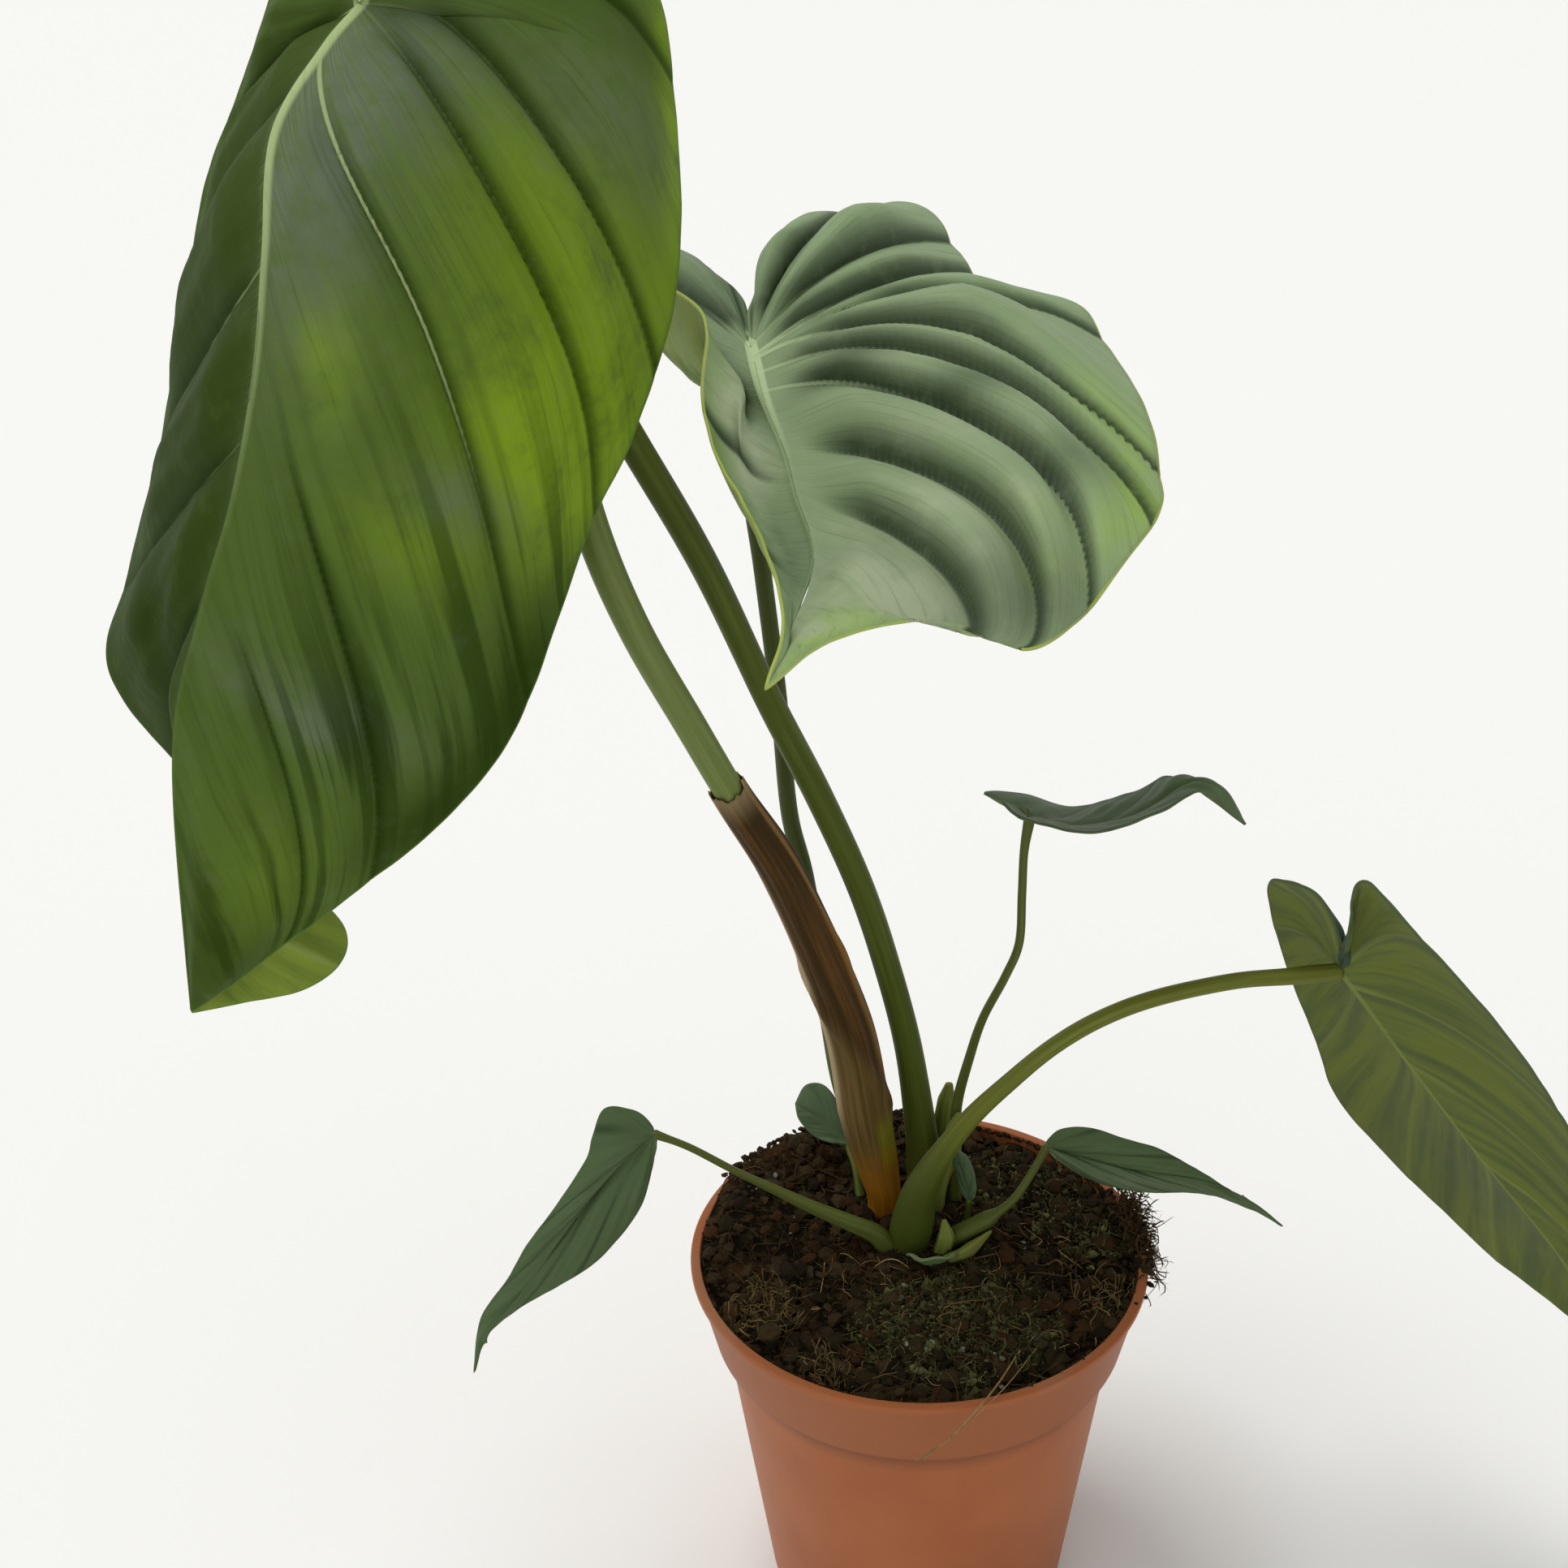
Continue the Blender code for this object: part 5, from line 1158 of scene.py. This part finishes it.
def leafFinish(name, look, under):
    skin = Finish(name, Specular_IOR_Level=look.get("gloss", 0.12))
    phase, out = skin.mapOf("veins")
    width, length = skin.mapOf("sizes")
    pale, lightThrough = skin.mapOf("tone")
    paintedSheen, ribPale = skin.mapOf("paintedSheen")
    ribHalf, streaky = skin.mapOf("extra")
    shade, reach = skin.mapOf("depth")
    place = skin.space()
    toVein = abs(reach * 10)  # these are in mm
    toRib = out * length * 300
    pastRib = toRib - ribHalf * 10
    toEdge = (1 - out) * length * 300
    streak = skin.noise(skin.vector(phase * 6.0, out * 0.9), 1.0, 3, 0.5)
    thread = skin.noise(skin.vector(phase * 34.0, out * 2.6, 4.0), 1.0, 3, 0.6)
    cloud = skin.noise(place, 38, 4)
    mottle = skin.noise(place, 150, 4, 0.6)
    cell = skin.noise(place, 2200, 2)
    if under:
        base = skin.mix(skin.step(streak, 0.36, 0.66) * 0.5, look["under"], look["lamina"])
        # a painted grey sheen
        base = skin.mix(paintedSheen * 0.6, base, look["grey"])
        base = skin.mix(skin.step(toVein, 0.35, 1.0, 1.0, 0.0) * (0.3 + 0.5 * pale), base, look["underVein"])
        base = skin.mix(skin.step(pastRib, -0.3, 0.3, 0.85, 0.0), base, look["underVein"])
    else:
        # painted light: yellow-green where light shines through the blade
        base = skin.mix(lightThrough * skin.step(cloud * 0.5 + mottle * 0.5, 0.25, 0.55), look["lamina"], look["lightThrough"])
        # a painted grey sheen where the blade catches the light
        base = skin.mix(paintedSheen * skin.step(mottle * 0.5 + streak * 0.5, 0.25, 0.6), base, look["grey"])
        streaks = skin.step(streak, 0.47, 0.60) * (0.12 + 0.80 * streaky) * look["streak"]
        base = skin.mix(streaks, base, look["deep"])
        base = skin.mix(shade * skin.step(mottle, 0.2, 0.5, 0.75, 1.0), base, look["shade"])
        # painted shade in the valleys, wide before a vein and narrow after it
        f = phase.fraction()
        before, after = (1 - f) * width * 100, f * width * 100
        valley = skin.step(after, 0.0, 2.2, 1.0, 0.0).larger(skin.step(before, 0.0, look["valley"], 1.0, 0.0))
        valley = valley * skin.step(width, 0.03, 0.10) * skin.step(toRib, 3.0, 14.0)
        base = skin.mix(valley * look.get("valleyDepth", 0.8), base, look["deep"])
        # pale veins, and a pale midrib with a soft halo
        line = skin.step(toVein - pale * look.get("lineWidth", 0.06), 0.10, 0.42, 1.0, 0.0)
        base = skin.mix(line * skin.step(toRib, 0.3, 1.2) * pale, base, look["vein"])
        core = skin.step(pastRib, -0.5, 0.25, 1.0, 0.0)
        base = skin.mix(core * (0.06 + 0.94 * ribPale), base, look["vein"])
        halo = skin.step(pastRib, 0.0, 5.0, 1.0, 0.0) * ribPale * skin.step(thread, 0.4, 0.7)
        base = skin.mix(halo * 0.25, base, look["vein"])
    base = skin.mix(skin.step(thread, 0.5, 0.78) * 0.30, base, look["deep"])
    base = skin.mix(skin.step(mottle, 0.5, 0.8) * (1 - 0.9 * shade) * 0.16, base, look["grey"])
    base = skin.mix(skin.step(toEdge, 0.15, 0.65, 0.7, 0.0), base, look["edge"])
    if "specks" in look:
        speck = skin.node("ShaderNodeTexVoronoi", {}, {"Vector": place, "Scale": 230.0, "Randomness": 1.0})
        rare = skin.step(skin.noise(place, 60, 2), 0.58, 0.70)
        dirt = (0.02, 0.016, 0.008)
        base = skin.mix(skin.step(speck, 0.10, 0.17, 1.0, 0.0) * rare * look["specks"], base, dirt)
    skin.set("Base Color", base)
    skin.set("Roughness", look["rough"] + (0.12 if under else 0.0) + 0.14 * mottle)
    skin.bump(thread * 0.8 + streak * 1.0 + cell * 0.3 + mottle * 0.8, 0.00022, 0.55)
    return skin.material


def makeBlades():
    finishes = {
        name: [leafFinish(name + " leaf", look, False), leafFinish(name + " leaf underside", look, True)]
        for name, look in leafLooks.items()
    }
    for name, leaf in blades.items():
        makeBlade(name, {**plainBlade, **leaf}, finishes[leaf["finish"]])
        print("blade made:", name)


# the newest leaf: its petiole, the dry sheath round its foot, and its rolled blade
newLeaf = {
    "path": [(-8, 3, -2), (-8, 3, 6), (-11, 2, 22), (-13, 1, 34), (-17, -2, 61), (-25, -6, 88), (-34, -12, 114),
             (-44, -19, 136), (-53, -26, 158), (-63, -34, 183), (-70, -39, 206), (-75, -36, 228), (-79, -30, 256),
             (-80, -24, 285), (-80, -20, 307), (-79, -17, 325)],
    "radii": [(0, 3.2), (0.03, 3.5), (0.09, 4.3), (0.3, 4.2), (0.40, 3.7), (0.58, 3.6), (0.75, 3.8), (1, 3.8)],
    "sheathLength": 146.0, "sheathWall": 0.55,
    "girth": [(0, 4.2), (0.05, 4.5), (0.15, 6.1), (0.25, 7.0), (0.4, 6.5), (0.6, 5.8), (0.8, 5.2), (1, 4.4)],
    "roll": [(0, 0, 0), (-2, 3, 32), (0, 10, 68), (6, 20, 100)], "rollLength": 105.0, "rollRadius": 6.0,
    "rollGap": 0.6,  # mm from the petiole's end
    "brown": (0.036, 0.019, 0.003), "redBrown": (0.105, 0.048, 0.012), "tan": (0.400, 0.300, 0.160),
    "olive": (0.075, 0.050, 0.010), "lightBrown": (0.150, 0.092, 0.032), "rust": (0.260, 0.130, 0.030),
    "amber": (0.300, 0.120, 0.006), "moss": (0.160, 0.150, 0.008),
}


def sheathFinish():
    dry = Finish("dry sheath", Specular_IOR_Level=0.10)
    turn, along = dry.mapOf("stem")
    streak = dry.noise(dry.vector(turn * 30.0, along * 1.8), 1.0, 5, 0.6)
    cloud = dry.noise(dry.space(), 60, 4)
    fold = 0.88 - along * 1.05  # a fold that winds from the right of the foot to the left higher up
    pale = dry.mix(dry.step(streak, 0.35, 0.7), newLeaf["olive"], newLeaf["lightBrown"])
    deep = dry.mix(dry.step(streak, 0.40, 0.75), newLeaf["brown"], newLeaf["redBrown"])
    base = dry.mix(dry.step(turn - fold, -0.07, 0.10), pale, deep)
    left = dry.step(abs(turn - 0.5), 0.36, 0.46) * dry.step(along, 0.25, 0.45)
    base = dry.mix(left * 0.85, base, newLeaf["tan"])
    rim = dry.near(turn, 0.46, 0.015, 0.05) * dry.step(along, 0.35, 0.6)
    base = dry.mix(rim * 0.8, base, newLeaf["rust"])
    patch = dry.near(turn, 0.40, 0.05, 0.12) * dry.step(along, 0.16, 0.21) * dry.step(along, 0.30, 0.40, 1.0, 0.0)
    base = dry.mix(patch * 0.9, base, newLeaf["moss"])
    base = dry.mix(dry.step(along + 0.10 * cloud, 0.16, 0.34, 1.0, 0.0) * 0.9, base, newLeaf["amber"])
    base = dry.mix(dry.step(along, 1.36, 1.50) * 0.6, base, newLeaf["tan"])
    dry.set("Base Color", base)
    dry.set("Roughness", 0.45 + 0.3 * cloud)
    dry.bump(streak + 0.4 * cloud, 0.0007, 0.9)
    return dry.material


def makeNewPetiole(path):
    def eightRibs(turn, share):
        return 1 + 0.02 * np.cos(8 * 2 * math.pi * turn)

    radius = np.interp(np.linspace(0, 1, len(path)), *np.array(newLeaf["radii"]).T) * mm
    stem = carry("newPetiole", path, radius, [stemFinish("young petiole", stemLooks["pale"])], 36, eightRibs)
    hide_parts("new_petiole")


def makeSheath(path):
    # a wall carried along the petiole's path, out up its outside and back down its inside, with fine creases, a
    # fold that winds round it, a loose flap and a ragged top
    steps, around = 120, 72
    covered = smoothPath(path[lengthAlong(path) <= (newLeaf["sheathLength"] + 4) * mm], steps)
    first, second, ahead = ringFrames(covered)
    turn = np.linspace(0, 1, around, endpoint=False)[None]
    rise = np.linspace(0, 1, steps + 1)[:, None]
    angle = 2 * math.pi * turn
    place = np.stack(np.broadcast_arrays(4 * np.cos(angle), 4 * np.sin(angle), 20 * rise), -1)
    outer = np.interp(rise, *np.array(newLeaf["girth"]).T)
    outer = outer + 0.16 * np.sin(9 * angle + 3 * rise) + 0.22 * ripple(place, 2.6, 41, 9)
    outer += 0.8 * np.exp(-((turn - 0.88 + 1.53 * rise) / 0.04) ** 2) * smoothStep(rise, 0.10, 0.2)
    outer += np.exp(-((turn - 0.47) / 0.05) ** 2 - ((rise - 0.60) / 0.055) ** 2)
    inner = outer - newLeaf["sheathWall"] * (1 - 0.6 * rise) * (0.9 + 0.1 * smoothStep(rise, 0.97, 1.0))
    ring = np.cos(angle)[:, :, None] * first[:, None] + np.sin(angle)[:, :, None] * second[:, None]
    ragged = 0.9 * np.sin(2 * angle + 1) + 0.5 * np.sin(7 * angle) + 0.3 * np.sin(15 * angle + 2)
    ragged = ragged * smoothStep(rise, 0.9, 1.0) * mm
    middle = covered[:, None] + ahead[:, None] * ragged[:, :, None]
    outside, inside = (middle + ring * (wall * mm)[:, :, None] for wall in (outer, inner))
    walls = np.vstack([outside, inside[::-1]])
    faces = np.vstack([gridFaces(len(walls), around, wrap=True), closingFaces(len(walls), around)])
    length = rise * newLeaf["sheathLength"] / 100  # in decimetres
    maps = {"stem": pairs(turn, np.vstack([length, length[::-1]]))}
    sheath = addPiece("drySheath", walls.reshape(-1, 3), faces, [sheathFinish()], maps)
    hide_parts("brown_sheath")


def makeRolledBlade(foot):
    # a spindle whose radius winds inwards, so that its free edge stands out as a spiral seam
    drawn = smoothPath(newLeaf["roll"], 130) * mm
    drawn *= newLeaf["rollLength"] * mm / lengthAlong(drawn)[-1]
    share = np.linspace(0, 1, len(drawn))
    belly = np.clip(0.50 + 0.5 * np.sin(math.pi * (0.1 + 0.75 * share)), 0, 1) * (1 - share**3.2) ** 0.8 + 0.05
    belly[:12] *= np.linspace(0.75, 1, 12)

    def spiral(turn, share):
        wound = (turn + 1.6 * share) % 1
        seam = 0.16 * wound - 0.16 * smoothStep(wound, 0.93, 1.0)
        return 0.90 + seam + 0.012 * np.cos(60 * math.pi * wound)

    look = dict(stemLooks["pale"], lines=60.0, relief=0.0003, light=(0.23, 0.33, 0.10))
    young = stemFinish("young blade", look)
    spear = carry("rolledBlade", foot + drawn, newLeaf["rollRadius"] * mm * belly, [young], 72, spiral)
    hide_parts("rolled_leaf")


def makeNewLeaf():
    path = smoothPath([crownPoint(place) for place in newLeaf["path"]], 150)
    makeNewPetiole(path)
    makeSheath(path)
    makeRolledBlade(path[-1] + np.array([0, 0, newLeaf["rollGap"] * mm]))
    print("new leaf made")


# what buds have left round the crown, and the cupped leaflet in front of it
crown = {
    "tallBud": {"path": [(8.5, 16, -2), (8.5, 16, 6), (9, 15, 18), (10.5, 13, 33)],
                "radii": [(0, 2.4), (0.5, 2.3), (0.85, 2.0), (1, 0.9)]},
    "shortBud": {"path": [(6, 3, -2), (7, 3, 8), (10, 3, 19), (12.6, 3, 30)],
                 "radii": [(0, 2.6), (0.5, 2.5), (0.85, 2.2), (1, 1.0)]},
    "frontBract": {"path": [(6.5, -15, -1), (7.5, -15, 4), (7, -14.5, 9)],
                   "radii": [(0, 2.4), (0.5, 2.0), (1, 0.5)]},
    "sideBract": {"path": [(7, -19, -0.5), (13, -18, 1.5), (19.5, -14, 4.5)],
                  "radii": [(0, 1.3), (0.5, 1.7), (1, 0.4)]},
    "leaflet": {"centre": (3.5, -15.5), "radius": 5.6, "from": 205, "to": 335, "height": 7.0, "thick": 0.6},
    "budLook": {"deep": (0.110, 0.140, 0.020), "light": (0.230, 0.260, 0.060), "other": (0.160, 0.130, 0.030),
                "fleck": (0.30, 0.32, 0.12), "lines": 16.0},
    "bark": (0.012, 0.008, 0.003), "barkPale": (0.060, 0.046, 0.018),
    "cupInside": (0.240, 0.320, 0.130), "cupOutside": (0.230, 0.320, 0.110),
}


def makeBuds():
    def keel(turn, share):
        # pinched to a keel on two sides
        return 1 + 0.22 * np.cos(4 * math.pi * turn) * smoothStep(share, 0.1, 0.7)

    budSkin = stemFinish("bud sheath", crown["budLook"])
    for name, node in {"tallBud": "tall_bud", "shortBud": "short_bud", "frontBract": None, "sideBract": None}.items():
        bud = crown[name]
        path = smoothPath([crownPoint(place) for place in bud["path"]], 50)
        radius = np.interp(np.linspace(0, 1, 51), *np.array(bud["radii"]).T) * mm
        piece = carry(name, path, radius, [budSkin], 28, keel)
        if node:
            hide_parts(node)


def makeRootStock():
    # a low dome with scars, mostly under the soil
    bark = Finish("rootstock bark", Roughness=0.85)
    place = bark.space()
    broad, fine = bark.noise(place, 180, 4), bark.noise(place, 900, 3)
    bark.set("Base Color", bark.mix(bark.step(broad, 0.4, 0.65), crown["bark"], crown["barkPale"]))
    bark.bump(broad + 0.5 * fine, 0.0008, 1.0)
    dome = np.linspace(0, 1, 30)
    top = np.stack([16.8 * dome, 101.0 + 1.8 * (1 - dome**2)], -1)
    profile = np.vstack([top, [(16.9, 99.5), (16.6, 86.0), (12, 82.2), (0, 82.2)]])

    def scar(points):
        level = points[..., 2] > 100.9
        lift = 0.55 * ripple(points * (1, 1, 0), 3.1, 51, 9)
        lift = lift * (1 - np.hypot(points[..., 0], points[..., 1]) / 17.5) * level
        return points + np.stack([0 * lift, 0 * lift, lift], -1) + (0, 16, 0)

    stock = turnedPiece("rootStock", profile[::-1], 96, bark.material, scar)
    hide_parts("rootstock")


def makeLeaflet():
    # an upright wall round part of a circle, taller in its middle and rolled outwards at its top
    cup = crown["leaflet"]
    rows, steps = 60, 20
    share = np.linspace(0, 1, rows + 1)[:, None]
    level = np.linspace(0, 1, steps + 1)[None]
    angle = np.radians(cup["from"] + (cup["to"] - cup["from"]) * share)
    tall = cup["height"] * (0.25 + 0.75 * np.sin(math.pi * share) ** 0.8) * (1 + 0.06 * np.sin(14 * share))
    radius = cup["radius"] + 4.0 * level * np.sin(math.pi * share) + 1.5 * level**3
    radius = radius + 0.25 * np.sin(9 * angle) * level
    x, y = cup["centre"]
    points = np.stack([x + radius * np.cos(angle), y + 16 + radius * np.sin(angle),
                       102.6 + tall * level - 0.7 * level**4], -1)
    nothing = np.zeros_like(radius)
    maps = {
        "veins": pairs(share * 6, level), "sizes": pairs(nothing + 0.04, tall / 300),
        "tone": pairs(nothing, nothing), "paintedSheen": pairs(nothing, nothing),
        "extra": pairs(nothing + 0.001, nothing + 0.2), "depth": pairs(nothing, nothing + 1),
    }
    look = dict(leafLooks["teal"], lamina=crown["cupInside"], under=crown["cupOutside"])
    skins = [leafFinish("leaflet", look, False), leafFinish("leaflet outside", look, True)]
    leaflet = addPiece("cuppedLeaflet", points.reshape(-1, 3) * mm, gridFaces(rows + 1, steps + 1), skins, maps)
    thicken(leaflet, cup["thick"])
    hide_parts("base_leaflet")


def makeCrown():
    makeBuds()
    makeRootStock()
    makeLeaflet()
    print("crown made")


addCamera()
addSky()
addLamps()
makeFloor()
print("studio made")
makePot()
makeSoil()
makePetioles()
makeBlades()
makeNewLeaf()
makeCrown()
